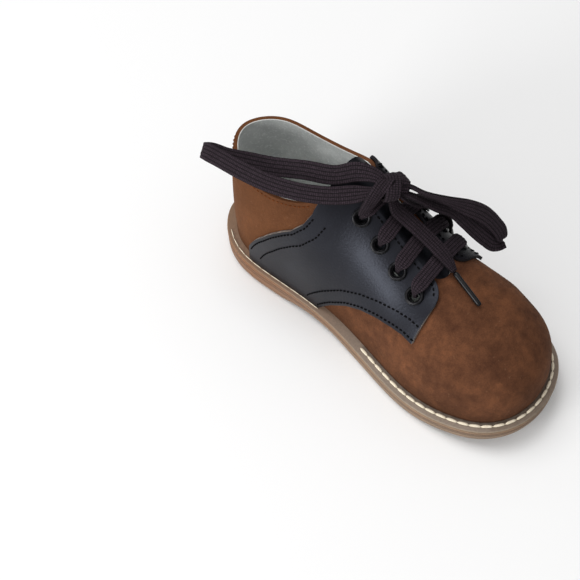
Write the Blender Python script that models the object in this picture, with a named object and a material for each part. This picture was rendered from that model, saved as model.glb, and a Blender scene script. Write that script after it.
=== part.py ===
"""Toddler saddle shoe for the left foot, laced, standing empty on its sole.

Metres, +Z up, toe toward -Y, medial side toward -X.
"""

import math

import bmesh
import bpy
import numpy as np
from mathutils import Vector

UPPER_LENGTH = 0.152
BALL_WIDTH = 0.0594
INSTEP_HEIGHT = 0.067
HEEL_SOLE = 0.0105
HEEL_BACK = 0.0612

GAP = 0.0003
SADDLE_GAP = 0.00045
WALL = 0.0015
SADDLE_WALL = 0.0013
TONGUE_WALL = 0.0016
TONGUE_GAP = 0.0005
TONGUE_TOP = 0.340
TONGUE_END = 0.712
INSOLE_THICKNESS = 0.0020
INSOLE_INSET = WALL + 0.0004
WELT_LEDGE = 0.0038
WELT_THICKNESS = 0.0028
TREAD_LEDGE = 0.0036

EYELET_OUTER = 0.0037
EYELET_BORE = 0.0021
EYELET_BARREL = 0.0026
EYELET_RISE = 0.0011
HOLE_CLEARANCE = 0.00045
EYELET_TOP_SPREAD = 0.0113
EYELET_END_SPREAD = 0.0142
EYELET_FIRST = 0.439
EYELET_PITCH = 0.0703
EYELETS = 4
THROAT_HALF_WIDTH = 0.0060
THROAT_ROUND = 0.640
THROAT_BEND = (0.657, 0.670, 0.678)
THROAT_END = 0.682

LACE_WIDTH = 0.0062
LACE_THICKNESS = 0.0013
LACE_STEP = 0.0038
KNOT_LIFT = 0.0022
KNOT_FORWARD = 0.0022
KNOT_CENTRE = (0.0035, 0.0035, 0.0737)
KNOT_AXIS = (0.80, -0.60, 0.0)
KNOT_HALF_LENGTH = 0.0052
KNOT_RADIUS = 0.0047
AGLET_RADIUS = 0.0011

HEEL_CENTRE = 0.17
TOE_CENTRE = 0.80

# Feather line seen from above: station from the heel as a share of the length,
# offset across as a share of the ball width, medial side negative.
PLAN = (
    (0.000, 0.000),
    (0.055, 0.235),
    (0.170, 0.330),
    (0.400, 0.440),
    (0.620, 0.488),
    (0.800, 0.487),
    (0.945, 0.330),
    (1.000, -0.040),
    (0.955, -0.325),
    (0.840, -0.447),
    (0.700, -0.455),
    (0.430, -0.325),
    (0.170, -0.330),
    (0.055, -0.235),
)

# Sections of the last: ridge as a share of the instep height, squareness of the
# arch over the foot, shift of the ridge across as a share of the ball width.
SECTION_COLUMNS = ("station", "ridge", "squareness", "shift")
SECTIONS = (
    (0.00, 1.254, 3.40, 0.000),
    (0.15, 1.194, 3.30, 0.000),
    (0.30, 1.112, 2.80, 0.070),
    (0.42, 1.000, 2.00, 0.118),
    (0.52, 0.872, 1.95, 0.105),
    (0.62, 0.768, 2.00, 0.068),
    (0.72, 0.712, 2.25, 0.020),
    (0.82, 0.669, 2.45, 0.000),
    (0.92, 0.633, 2.50, 0.000),
    (1.00, 0.612, 2.50, 0.000),
)

# Height of the feather line and of the tread as shares of the sole at the heel.
SOLE_COLUMNS = ("station", "feather", "tread")
SOLE_ROWS = (
    (0.00, 1.000, 0.030),
    (0.05, 0.995, 0.000),
    (0.27, 0.950, 0.000),
    (0.33, 0.900, 0.190),
    (0.44, 0.810, 0.190),
    (0.53, 0.745, 0.000),
    (0.74, 0.730, 0.000),
    (0.82, 0.820, 0.100),
    (0.91, 1.040, 0.330),
    (1.00, 1.380, 0.680),
)

# Height of the top edge as a share of the heel's back; past the facing's top
# it only has to stay above the throat's edge.
TOPLINE_COLUMNS = ("station", "medial", "lateral")
TOPLINE = (
    (0.00, 1.000, 1.000),
    (0.08, 0.985, 0.985),
    (0.17, 0.950, 0.950),
    (0.21, 0.945, 0.940),
    (0.26, 0.963, 0.938),
    (0.30, 0.992, 0.955),
    (0.333, 1.032, 0.990),
    (0.37, 1.090, 1.060),
    (0.41, 1.170, 1.150),
    (0.50, 1.400, 1.400),
    (1.00, 1.600, 1.600),
)

# Saddle: lower and upper edge as girth shares, zero at the feather line and
# one at the ridge.
SADDLE_COLUMNS = ("station", "low", "high")
SADDLE_ROWS = (
    (0.147, 0.000, 0.020),
    (0.162, 0.000, 0.045),
    (0.199, 0.000, 0.105),
    (0.244, 0.000, 0.195),
    (0.290, 0.000, 0.295),
    (0.319, 0.000, 0.400),
    (0.334, 0.000, 0.510),
    (0.342, 0.000, 1.000),
    (0.392, 0.000, 1.000),
    (0.436, 0.107, 1.000),
    (0.486, 0.210, 1.000),
    (0.536, 0.292, 1.000),
    (0.585, 0.355, 1.000),
    (0.636, 0.405, 1.000),
    (0.671, 0.430, 1.000),
    (0.706, 0.436, 1.000),
)
SADDLE_END = 0.706
LATERAL_BACK = 0.020

# A bar of the lace, from an eyelet's middle toward the throat's: distance in
# eyelet radii, rise over the saddle in metres, width as a share of the lace's.
BAR_COLUMNS = ("inward", "rise", "width")
BAR_ROWS = (
    (0.00, -0.0012, 0.28),
    (0.22, 0.0012, 0.30),
    (0.46, 0.0024, 0.48),
    (0.74, 0.0029, 0.80),
    (1.20, 0.0029, 1.00),
    (2.00, 0.0022, 1.00),
    (2.80, 0.0014, 1.00),
    (3.40, 0.0009, 1.00),
)
BAR_STEPS = 4

# Routes of the lace's free strips: place, turn of the flat about the run in
# degrees, and width as a share of the lace's.
STRIP_COLUMNS = ("x", "y", "z", "turn", "width")
LOOP_ACROSS = (0.81, 0.27, 0.52)
MEDIAL_LOOP = (
    (-0.0015, 0.0068, 0.0733, 20, 0.70),
    (-0.0062, 0.0118, 0.0725, 10, 1.00),
    (-0.0122, 0.0191, 0.0715, 0, 1.00),
    (-0.0170, 0.0290, 0.0700, 0, 1.00),
    (-0.0203, 0.0419, 0.0680, 0, 1.00),
    (-0.0215, 0.0555, 0.0662, 0, 1.00),
    (-0.0218, 0.0668, 0.0650, 0, 1.00),
    (-0.0219, 0.0732, 0.0641, 0, 1.00),
    (-0.0213, 0.0758, 0.0624, 0, 1.00),
    (-0.0196, 0.0744, 0.0609, 0, 1.00),
    (-0.0171, 0.0684, 0.0614, 0, 1.00),
    (-0.0138, 0.0602, 0.0640, 0, 1.00),
    (-0.0106, 0.0500, 0.0667, 0, 1.00),
    (-0.0074, 0.0364, 0.0701, 0, 1.00),
    (-0.0036, 0.0250, 0.0725, -10, 1.00),
    (-0.0004, 0.0178, 0.0738, -20, 1.00),
    (0.0012, 0.0118, 0.0742, -30, 0.85),
)
LATERAL_LOOP = (
    (0.0082, -0.0007, 0.0737, 85, 0.70),
    (0.0104, -0.0073, 0.0725, 85, 1.00),
    (0.0146, -0.0128, 0.0698, 80, 1.00),
    (0.0214, -0.0186, 0.0645, 65, 1.00),
    (0.0280, -0.0243, 0.0574, 45, 1.00),
    (0.0302, -0.0279, 0.0523, 25, 1.00),
    (0.0305, -0.0307, 0.0485, 10, 1.00),
    (0.0289, -0.0326, 0.0452, 0, 1.00),
    (0.0256, -0.0319, 0.0449, 0, 1.00),
    (0.0232, -0.0290, 0.0475, 0, 1.00),
    (0.0212, -0.0256, 0.0515, 5, 1.00),
    (0.0192, -0.0213, 0.0572, 15, 1.00),
    (0.0162, -0.0159, 0.0621, 30, 1.00),
    (0.0122, -0.0107, 0.0667, 40, 1.00),
    (0.0093, -0.0066, 0.0692, 50, 0.85),
)
MEDIAL_END_ACROSS = (-1.0, 0.0, 0.0)
MEDIAL_END = (
    (0.0015, -0.0016, 0.0664, 0, 0.90),
    (0.0025, -0.0039, 0.0642, 0, 1.00),
    (0.0034, -0.0107, 0.0606, 0, 1.00),
    (0.0038, -0.0180, 0.0572, 0, 1.00),
    (0.0034, -0.0230, 0.0554, 0, 0.95),
    (0.0029, -0.0265, 0.0534, 0, 0.70),
    (0.0024, -0.0291, 0.0516, 0, 0.38),
)
MEDIAL_AGLET = ((0.0022, -0.0298, 0.0510), (-0.0012, -0.0441, 0.0473))
LATERAL_END_ACROSS = (0.0, -1.0, 0.0)
LATERAL_END = (
    (0.0070, -0.0021, 0.0674, 0, 0.90),
    (0.0096, -0.0045, 0.0657, 0, 1.00),
    (0.0138, -0.0074, 0.0631, 0, 1.00),
    (0.0184, -0.0090, 0.0582, 0, 1.00),
    (0.0221, -0.0098, 0.0512, 0, 1.00),
    (0.0242, -0.0104, 0.0443, 0, 0.95),
    (0.0264, -0.0108, 0.0387, 0, 0.38),
)
LATERAL_AGLET = ((0.0266, -0.0109, 0.0379), (0.0305, -0.0118, 0.0237))
FLAP_CORNER = 0.0065

SIDE_COLUMNS = 26
HEEL_COLUMNS = 12
TOE_COLUMNS = 14
GIRTH_ROWS = 10
SADDLE_GIRTH_ROWS = 9
EYELET_TURNS = 10


def clear_scene():
    for item in list(bpy.data.objects):
        bpy.data.objects.remove(item, do_unlink=True)


def row_value(rows, column, at):
    table = np.asarray(rows, float)
    x = table[:, 0]
    y = table[:, column]
    slope = np.gradient(y, x)
    at = np.asarray(at, float)
    inside = np.clip(at, x[0], x[-1])
    k = np.clip(np.searchsorted(x, inside, side="right") - 1, 0, len(x) - 2)
    span = x[k + 1] - x[k]
    u = (inside - x[k]) / span
    value = (
        (1 + 2 * u) * (1 - u) ** 2 * y[k]
        + u * (1 - u) ** 2 * span * slope[k]
        + u * u * (3 - 2 * u) * y[k + 1]
        + u * u * (u - 1) * span * slope[k + 1]
    )
    end = np.where(at > x[-1], slope[-1], slope[0])
    return value + (at - inside) * end


def section_value(name, along):
    column = SECTION_COLUMNS.index(name)
    return row_value(SECTIONS, column, np.asarray(along) / UPPER_LENGTH)


def feather_height(along):
    return HEEL_SOLE * row_value(SOLE_ROWS, 1, np.asarray(along) / UPPER_LENGTH)


def tread_height(along):
    share = row_value(SOLE_ROWS, 2, np.asarray(along) / UPPER_LENGTH)
    return HEEL_SOLE * np.maximum(share, 0.0)


def ridge_height(along):
    inside = np.minimum(along, UPPER_LENGTH)
    return INSTEP_HEIGHT * section_value("ridge", inside)


def spine_shift(along):
    return BALL_WIDTH * section_value("shift", along)


def closed_curve(points, count):
    ring = np.vstack([points, points[:1]])
    chord = np.linalg.norm(np.diff(ring, axis=0), axis=1)
    knots = np.concatenate([[0.0], np.cumsum(np.sqrt(chord))])
    step = np.diff(knots)
    size = len(points)
    matrix = np.zeros((size, size))
    right = np.zeros((size, 2))
    for i in range(size):
        before = step[i - 1]
        after = step[i]
        matrix[i, (i - 1) % size] += after
        matrix[i, i] += 2 * (before + after)
        matrix[i, (i + 1) % size] += before
        last = points[i - 1]
        ahead = ring[i + 1]
        right[i] = 3 * (
            after * (points[i] - last) / before + before * (ahead - points[i]) / after
        )
    slope = np.linalg.solve(matrix, right)
    slope = np.vstack([slope, slope[:1]])
    at = np.linspace(0, knots[-1], count, endpoint=False)
    k = np.clip(np.searchsorted(knots, at, side="right") - 1, 0, size - 1)
    h = step[k][:, None]
    u = ((at - knots[k]) / step[k])[:, None]
    return (
        (1 + 2 * u) * (1 - u) ** 2 * ring[k]
        + u * (1 - u) ** 2 * h * slope[k]
        + u * u * (3 - 2 * u) * ring[k + 1]
        + u * u * (u - 1) * h * slope[k + 1]
    )


def plan_outline(offset=0.0, count=720):
    table = np.array(PLAN)
    points = np.column_stack([table[:, 1] * BALL_WIDTH, table[:, 0] * UPPER_LENGTH])
    line = closed_curve(points, count)
    along = np.roll(line, -1, axis=0) - np.roll(line, 1, axis=0)
    along /= np.linalg.norm(along, axis=1)[:, None]
    normal = np.column_stack([along[:, 1], -along[:, 0]])
    centre = line.mean(axis=0)
    if np.mean(np.sum(normal * (line - centre), axis=1)) < 0:
        normal = -normal
    return line + normal * offset


def half_outline(offset, side):
    line = plan_outline(offset)
    start = int(np.argmin(line[:, 1]))
    line = np.roll(line, -start, axis=0)
    end = int(np.argmax(line[:, 1]))
    one = line[: end + 1]
    other = np.vstack([line[end:], line[:1]])[::-1]
    first_is_lateral = one[:, 0].mean() > other[:, 0].mean()
    lateral, medial = (one, other) if first_is_lateral else (other, one)
    half = lateral if side > 0 else medial
    keep = np.concatenate([[True], np.diff(np.maximum.accumulate(half[:, 1])) > 1e-9])
    return half[keep]


def across_at(offset, side, along):
    half = half_outline(offset, side)
    return np.interp(along, half[:, 1], half[:, 0])


def plan_box():
    line = plan_outline(WELT_LEDGE)
    return line.min(axis=0), line.max(axis=0)


BOX_LOW, BOX_HIGH = plan_box()
CENTRE = (BOX_LOW + BOX_HIGH) / 2


def to_world(points):
    points = np.asarray(points, float)
    return np.stack(
        [
            points[..., 0] - CENTRE[0],
            CENTRE[1] - points[..., 1],
            points[..., 2],
        ],
        axis=-1,
    )


def last_point(foot, spine, girth):
    foot = np.asarray(foot, float)
    spine = np.asarray(spine, float)
    girth = np.clip(girth, 0.0, 1.0)
    angle = girth * math.pi / 2
    power = 2 / section_value("squareness", spine[..., 1])
    inward = 1 - np.maximum(np.cos(angle), 0.0) ** power
    upward = np.maximum(np.sin(angle), 0.0) ** power
    bulge = 0.05 * np.sin(2 * angle) ** 2 * (1 - girth)
    blend = (inward - bulge)[..., None]
    plan = foot + (spine - foot) * blend
    low = feather_height(foot[..., 1])
    height = low + (ridge_height(plan[..., 1]) - low) * upward
    return np.concatenate([plan, height[..., None]], axis=-1)


def side_column(side, along):
    along = np.asarray(along, float)
    foot = np.stack([across_at(0.0, side, along), along], axis=-1)
    spine = np.stack([spine_shift(along), along], axis=-1)
    return foot, spine


def fan_column(end, degrees):
    share = TOE_CENTRE if end > 0 else HEEL_CENTRE
    centre = np.array([0.0, share * UPPER_LENGTH])
    centre[0] = spine_shift(centre[1])
    rel = plan_outline() - centre
    bearing = np.degrees(np.arctan2(rel[:, 0], rel[:, 1] * end))
    order = np.argsort(bearing)
    reach = np.interp(degrees, bearing[order], np.linalg.norm(rel, axis=1)[order])
    turn = np.radians(degrees)
    foot = np.stack(
        [
            centre[0] + reach * np.sin(turn),
            centre[1] + reach * np.cos(turn) * end,
        ],
        axis=-1,
    )
    return foot, np.broadcast_to(centre, foot.shape)


def side_surface(side, along, girth, lift=0.0):
    along, girth = np.broadcast_arrays(np.asarray(along, float), girth)
    grow = 2e-4
    ahead = last_point(*side_column(side, along + grow), girth)
    back = last_point(*side_column(side, along - grow), girth)
    foot, spine = side_column(side, along)
    here = last_point(foot, spine, girth)
    up = last_point(foot, spine, np.minimum(girth + 0.004, 1.0))
    down = last_point(foot, spine, np.maximum(girth - 0.004, 0.0))
    normal = np.cross(ahead - back, up - down) * side
    length = np.linalg.norm(normal, axis=-1)[..., None]
    normal = normal / np.maximum(length, 1e-12)
    return here + normal * lift, normal


def girth_at_height(foot, spine, height):
    girth = np.linspace(0.0, 1.0, 161)
    points = last_point(foot[:, None, :], spine[:, None, :], girth[None, :])
    found = []
    for row, level in zip(points[..., 2], height):
        rising = np.maximum.accumulate(row)
        found.append(np.interp(level, rising, girth))
    return np.array(found)


def girth_at_width(foot, spine, width):
    girth = np.linspace(0.0, 1.0, 161)
    points = last_point(foot[:, None, :], spine[:, None, :], girth[None, :])
    away = np.linalg.norm(points[..., :2] - spine[:, None, :], axis=-1)
    found = []
    for row, level in zip(away, width):
        falling = np.minimum.accumulate(row)[::-1]
        found.append(np.interp(level, falling, girth[::-1]))
    return np.array(found)


def throat_width(along):
    end = THROAT_END * UPPER_LENGTH
    round_start = THROAT_ROUND * UPPER_LENGTH
    share = np.clip((along - round_start) / (end - round_start), 0.0, 1.0)
    return THROAT_HALF_WIDTH * np.sqrt(1 - share**2)


def smaller(one, other, blend):
    share = np.clip(0.5 + 0.5 * (other - one) / blend, 0.0, 1.0)
    return other + (one - other) * share - blend * share * (1 - share)


def edge_girth(foot, spine, width):
    station = foot[:, 1] / UPPER_LENGTH
    lateral = np.clip(0.5 + foot[:, 0] / BALL_WIDTH * 2, 0.0, 1.0)
    share = row_value(TOPLINE, 1, station) * (1 - lateral)
    share = share + row_value(TOPLINE, 2, station) * lateral
    top = HEEL_BACK * share
    by_height = girth_at_height(foot, spine, top)
    by_width = girth_at_width(foot, spine, width)
    return smaller(by_height, by_width, 0.05)


def side_stations():
    low = HEEL_CENTRE * UPPER_LENGTH
    high = TOE_CENTRE * UPPER_LENGTH
    even = np.linspace(low, high, SIDE_COLUMNS)
    extra = np.array([0.376, 0.390, 0.405, THROAT_ROUND, *THROAT_BEND, THROAT_END]) * UPPER_LENGTH
    keep = [a for a in even if np.min(np.abs(extra - a)) > 0.0012]
    return np.sort(np.concatenate([keep, extra]))


def mesh_object(name, points, faces, material, smooth=True):
    mesh = bpy.data.meshes.new(name)
    mesh.from_pydata([tuple(p) for p in points], [], faces)
    mesh.validate()
    item = bpy.data.objects.new(name, mesh)
    bpy.context.collection.objects.link(item)
    item.data.materials.append(material)
    for face in mesh.polygons:
        face.use_smooth = smooth
    return item


def tidy_mesh(item, distance=1e-6):
    work = bmesh.new()
    work.from_mesh(item.data)
    bmesh.ops.remove_doubles(work, verts=work.verts, dist=distance)
    bmesh.ops.dissolve_degenerate(work, edges=work.edges, dist=1e-7)
    bmesh.ops.recalc_face_normals(work, faces=work.faces)
    work.to_mesh(item.data)
    work.free()


def apply_modifiers(item):
    graph = bpy.context.evaluated_depsgraph_get()
    made = bpy.data.meshes.new_from_object(item.evaluated_get(graph))
    old = item.data
    item.modifiers.clear()
    item.data = made
    bpy.data.meshes.remove(old)


def thicken(item, thickness, outward):
    solid = item.modifiers.new("wall", "SOLIDIFY")
    solid.thickness = thickness
    solid.offset = 1.0 if outward else -1.0
    solid.use_even_offset = True
    solid.use_quality_normals = True
    apply_modifiers(item)


def grid_faces(rows, columns, closed=False):
    faces = []
    last = rows if closed else rows - 1
    for i in range(last):
        ahead = (i + 1) % rows
        for j in range(columns - 1):
            faces.append(
                (
                    i * columns + j,
                    ahead * columns + j,
                    ahead * columns + j + 1,
                    i * columns + j + 1,
                )
            )
    return faces


def outward_grid(item, centre):
    # The sheet's faces are turned so that they look away from the foot's middle.
    work = bmesh.new()
    work.from_mesh(item.data)
    total = 0.0
    for face in work.faces:
        total += face.normal.dot(face.calc_center_median() - centre) * face.calc_area()
    if total < 0:
        bmesh.ops.reverse_faces(work, faces=work.faces)
    work.to_mesh(item.data)
    work.free()


def make_material(name, colour, roughness, metallic=0.0):
    material = bpy.data.materials.new(name)
    material.use_nodes = True
    shader = material.node_tree.nodes["Principled BSDF"]
    shader.inputs["Base Color"].default_value = (*linear(colour), 1.0)
    shader.inputs["Roughness"].default_value = roughness
    shader.inputs["Metallic"].default_value = metallic
    material.diffuse_color = (*linear(colour), 1.0)
    return material


def linear(colour):
    values = [int(colour[i : i + 2], 16) / 255 for i in (1, 3, 5)]
    return [v / 12.92 if v <= 0.04045 else ((v + 0.055) / 1.055) ** 2.4 for v in values]


def suede_material():
    return make_material("brown suede", "#6F482F", 0.92)


def saddle_material():
    return make_material("smooth dark leather", "#2E2D33", 0.42)


def lace_material():
    return make_material("woven lace", "#30272E", 0.9)


def sole_material():
    return make_material("tan rubber", "#93785F", 0.7)


def welt_material():
    return make_material("welt strip", "#8F7C68", 0.7)


def insole_material():
    return make_material("insole leather", "#B9BDBB", 0.8)


def eyelet_material():
    return make_material("black painted metal", "#1B1B1F", 0.35, 0.6)


def aglet_material():
    return make_material("lace tip", "#232126", 0.45)


def ring_points(offset, share, heights):
    """A closed ring at an offset from the feather line, stations even by angle."""
    rings = []
    for side in (-1, 1):
        half = half_outline(offset, side)
        low = half[0, 1]
        high = half[-1, 1]
        along = low + (high - low) * share
        across = np.interp(along, half[:, 1], half[:, 0])
        rings.append(np.column_stack([across, along, heights(along)]))
    medial, lateral = rings
    return medial, lateral


def plate(name, profile, bottom, top, material, count):
    """A plate with the outline of the feather line, its side from a short profile."""
    turn = np.linspace(0.0, math.pi, count)
    share = (1 - np.cos(turn)) / 2
    points = []
    size = 2 * count - 2
    for offset, level in profile:
        medial, lateral = ring_points(
            offset,
            share,
            lambda along, level=level: bottom(along) + (top(along) - bottom(along)) * level,
        )
        tip = (medial[-1] + lateral[-1]) / 2
        heel = (medial[0] + lateral[0]) / 2
        points += [heel, *medial[1:-1], tip, *lateral[1:-1][::-1]]
    faces = []
    for level in range(len(profile) - 1):
        for i in range(size):
            ahead = (i + 1) % size
            a = level * size
            b = a + size
            faces.append((a + i, a + ahead, b + ahead, b + i))
    for level, turned in ((0, True), (len(profile) - 1, False)):
        base = level * size
        for i in range(count - 1):
            corner = [base + i, base + i + 1]
            other = [base + (size - i - 1) % size, base + (size - i) % size]
            face = [corner[0], corner[1], other[0], other[1]]
            face = list(dict.fromkeys(face))
            faces.append(tuple(face[::-1] if turned else face))
    item = mesh_object(name, to_world(np.array(points)), faces, material)
    tidy_mesh(item)
    return item


WELT_SIDE = (
    (WELT_LEDGE - 0.0006, 0.00),
    (WELT_LEDGE - 0.0001, 0.10),
    (WELT_LEDGE, 0.38),
    (WELT_LEDGE - 0.0004, 0.46),
    (WELT_LEDGE - 0.0004, 0.54),
    (WELT_LEDGE, 0.62),
    (WELT_LEDGE - 0.0001, 0.88),
    (WELT_LEDGE - 0.0006, 1.00),
)

TREAD_SIDE = (
    (TREAD_LEDGE - 0.0016, 0.00),
    (TREAD_LEDGE - 0.0004, 0.12),
    (TREAD_LEDGE, 0.34),
    (TREAD_LEDGE, 0.86),
    (TREAD_LEDGE - 0.0005, 1.00),
)


def welt_top(along):
    return feather_height(along) - GAP


def welt_bottom(along):
    return welt_top(along) - WELT_THICKNESS


def outsole_top(along):
    return welt_bottom(along) - GAP


def build_outsole():
    return plate("outsole", TREAD_SIDE, tread_height, outsole_top, sole_material(), 36)


def build_midsole():
    return plate("midsole", WELT_SIDE, welt_bottom, welt_top, welt_material(), 31)


def build_insole():
    side = ((-INSOLE_INSET - 0.0003, 0.0), (-INSOLE_INSET, 0.5), (-INSOLE_INSET - 0.0004, 1.0))
    return plate(
        "insole",
        side,
        feather_height,
        lambda along: feather_height(along) + INSOLE_THICKNESS,
        insole_material(),
        24,
    )


def shell_columns():
    stations = side_stations()
    medial = side_column(-1, stations[::-1])
    lateral = side_column(1, stations)
    heel_turn = np.linspace(-90.0, 90.0, HEEL_COLUMNS + 1)[1:-1]
    toe_turn = np.linspace(90.0, -90.0, TOE_COLUMNS + 1)[1:-1]
    heel = fan_column(-1, heel_turn)
    toe = fan_column(1, toe_turn)
    foot = np.vstack([medial[0], heel[0], lateral[0], toe[0]])
    spine = np.vstack([medial[1], heel[1], lateral[1], toe[1]])
    return foot, spine


def build_upper():
    foot, spine = shell_columns()
    edge = edge_girth(foot, spine, throat_width(spine[:, 1]))
    closed = spine[:, 1] >= THROAT_END * UPPER_LENGTH - 1e-9
    edge = np.where(closed, 1.0, edge)
    rows = np.linspace(0.0, 1.0, GIRTH_ROWS + 1) ** 1.15
    girth = edge[:, None] * rows[None, :]
    points = last_point(foot[:, None, :], spine[:, None, :], girth)
    count = len(foot)
    item = mesh_object(
        "upper",
        to_world(points).reshape(-1, 3),
        grid_faces(count, GIRTH_ROWS + 1, closed=True),
        suede_material(),
    )
    tidy_mesh(item)
    outward_grid(item, foot_middle())
    thicken(item, WALL, outward=False)
    tidy_mesh(item)
    return item


def foot_middle():
    return Vector((0.0, 0.0, INSTEP_HEIGHT / 2))


def saddle_place(side, share):
    # The lateral flap ends a little further back than the medial one.
    if side < 0:
        return share * UPPER_LENGTH
    blend = np.clip((share - 0.45) / (SADDLE_END - 0.45), 0.0, 1.0)
    return (share - LATERAL_BACK * blend) * UPPER_LENGTH


def saddle_edges(side, share):
    low = np.interp(share, [r[0] for r in SADDLE_ROWS], [r[1] for r in SADDLE_ROWS])
    high = np.interp(share, [r[0] for r in SADDLE_ROWS], [r[2] for r in SADDLE_ROWS])
    foot, spine = side_column(side, saddle_place(side, share))
    rest = (SADDLE_END - share) * UPPER_LENGTH
    into = np.clip(1 - rest / FLAP_CORNER, 0.0, 1.0)
    width = THROAT_HALF_WIDTH + FLAP_CORNER * (1 - np.sqrt(1 - (into * 0.995) ** 2))
    edge = edge_girth(foot, spine, width)
    return low, np.minimum(high, edge)


def saddle_shares():
    rows = [r[0] for r in SADDLE_ROWS]
    ends = [SADDLE_END - d for d in (0.004, 0.012, 0.026)]
    top = [0.360, 0.376, 0.390, 0.405, 0.460, 0.510, 0.610]
    shares = np.sort(np.array(rows + ends + top))
    keep = [shares[0]]
    for a in shares[1:]:
        if a - keep[-1] > 0.006:
            keep.append(a)
    keep[-1] = shares[-1]
    return np.array(keep)


def build_saddle(name, side):
    share = saddle_shares()
    along = saddle_place(side, share)
    low, high = saddle_edges(side, share)
    rows = np.linspace(0.0, 1.0, SADDLE_GIRTH_ROWS + 1)
    girth = low[:, None] + (high - low)[:, None] * rows[None, :]
    points, _ = side_surface(side, along[:, None], girth, SADDLE_GAP)
    item = mesh_object(
        name,
        to_world(points).reshape(-1, 3),
        grid_faces(len(along), len(rows)),
        saddle_material(),
    )
    tidy_mesh(item)
    outward_grid(item, foot_middle())
    thicken(item, SADDLE_WALL, outward=True)
    tidy_mesh(item)
    return item


def width_girth(side, along, width):
    foot, spine = side_column(side, np.atleast_1d(along))
    return girth_at_width(foot, spine, np.atleast_1d(width))


def tongue_half_width(share):
    round_top = np.sqrt(1 - (1 - np.clip(share / 0.09, 0.0, 1.0)) ** 2)
    return (0.55 + 0.45 * round_top) * np.interp(share, [0.0, 0.35, 1.0], [0.0140, 0.0165, 0.0125])


def build_tongue():
    low = TONGUE_TOP * UPPER_LENGTH
    high = TONGUE_END * UPPER_LENGTH
    share = np.array([0.0, 0.015, 0.045, 0.09, 0.17, 0.28, 0.4, 0.52, 0.64, 0.76, 0.88, 1.0])
    along = low + (high - low) * share
    across = np.linspace(-1.0, 1.0, 11)
    points = np.zeros((len(along), len(across), 3))
    for j, part in enumerate(across):
        side = 1 if part > 0 else -1
        width = np.abs(part) * tongue_half_width(share)
        girth = width_girth(side, along, width)
        points[:, j], _ = side_surface(side, along, girth, -(WALL + TONGUE_GAP))
    # The ridge belongs to both sides, so its point sits midway.
    middle = len(across) // 2
    other, _ = side_surface(1, along, np.ones(len(along)), -(WALL + TONGUE_GAP))
    points[:, middle] = (points[:, middle] + other) / 2
    item = mesh_object(
        "tongue",
        to_world(points).reshape(-1, 3),
        grid_faces(len(along), len(across)),
        saddle_material(),
    )
    tidy_mesh(item)
    outward_grid(item, foot_middle())
    thicken(item, TONGUE_WALL, outward=False)
    tidy_mesh(item)
    return item


def eyelet_along(side, number):
    along = (EYELET_FIRST + EYELET_PITCH * number) * UPPER_LENGTH
    if side > 0:
        along -= LATERAL_BACK * UPPER_LENGTH * 0.8 * number / (EYELETS - 1)
    return along


def eyelet_spread(number):
    return EYELET_TOP_SPREAD + (EYELET_END_SPREAD - EYELET_TOP_SPREAD) * number / (EYELETS - 1)


def eyelet_seat(side, number):
    along = eyelet_along(side, number)
    girth = width_girth(side, along, eyelet_spread(number))[0]
    point, normal = side_surface(side, np.array([along]), np.array([girth]), SADDLE_GAP + SADDLE_WALL)
    centre = to_world(point)[0]
    axis = normal[0] * np.array([1.0, -1.0, 1.0])
    return centre, axis / np.linalg.norm(axis)


EYELET_PROFILE = (
    (EYELET_BORE, -(WALL + SADDLE_GAP + SADDLE_WALL)),
    (EYELET_BARREL, -(WALL + SADDLE_GAP + SADDLE_WALL)),
    (EYELET_BARREL, 0.00040),
    (EYELET_OUTER, 0.00040),
    (EYELET_OUTER, 0.00075),
    (0.0030, EYELET_RISE + 0.0001),
    (EYELET_BORE, 0.00070),
)


def frame_about(axis):
    along = np.array([0.0, 1.0, 0.0])
    first = along - axis * np.dot(along, axis)
    first /= np.linalg.norm(first)
    return first, np.cross(axis, first)


def build_eyelet(name, side, number):
    centre, axis = eyelet_seat(side, number)
    first, second = frame_about(axis)
    turns = EYELET_TURNS
    points = []
    for i in range(turns):
        angle = 2 * math.pi * i / turns
        out = first * math.cos(angle) + second * math.sin(angle)
        for radius, height in EYELET_PROFILE:
            points.append(centre + out * radius + axis * height)
    size = len(EYELET_PROFILE)
    faces = []
    for i in range(turns):
        ahead = (i + 1) % turns
        for j in range(size):
            next_j = (j + 1) % size
            faces.append(
                (i * size + j, ahead * size + j, ahead * size + next_j, i * size + next_j)
            )
    item = mesh_object(name, points, faces, eyelet_material())
    tidy_mesh(item)
    return item


def cut_hole(item, centre, axis, name):
    first, second = frame_about(axis)
    turns = EYELET_TURNS
    radius = (EYELET_BARREL + HOLE_CLEARANCE) / math.cos(math.pi / turns)
    points = []
    for height in (-0.006, 0.004):
        for i in range(turns):
            angle = 2 * math.pi * i / turns
            out = first * math.cos(angle) + second * math.sin(angle)
            points.append(centre + out * radius + axis * height)
    faces = [tuple(range(turns))[::-1], tuple(range(turns, 2 * turns))]
    for i in range(turns):
        ahead = (i + 1) % turns
        faces.append((i, ahead, turns + ahead, turns + i))
    cutter = mesh_object(name, points, faces, eyelet_material())
    cutter.hide_render = True
    cutter.display_type = "WIRE"
    cut = item.modifiers.new(name, "BOOLEAN")
    cut.operation = "DIFFERENCE"
    cut.solver = "EXACT"
    cut.object = cutter
    apply_modifiers(item)
    bpy.data.objects.remove(cutter, do_unlink=True)


def unit(vectors):
    return vectors / np.linalg.norm(vectors, axis=-1)[..., None]


def route_line(rows, step):
    # Rows are read at even steps from a smooth curve through all of them.
    table = np.array(rows, float)
    chord = np.linalg.norm(np.diff(table[:, :3], axis=0), axis=1)
    knots = np.concatenate([[0.0], np.cumsum(chord)])
    at = np.linspace(0.0, knots[-1], int(round(knots[-1] / step)) + 1)
    keyed = np.column_stack([knots, table])
    return np.column_stack([row_value(keyed, k + 1, at) for k in range(table.shape[1])])


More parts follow.
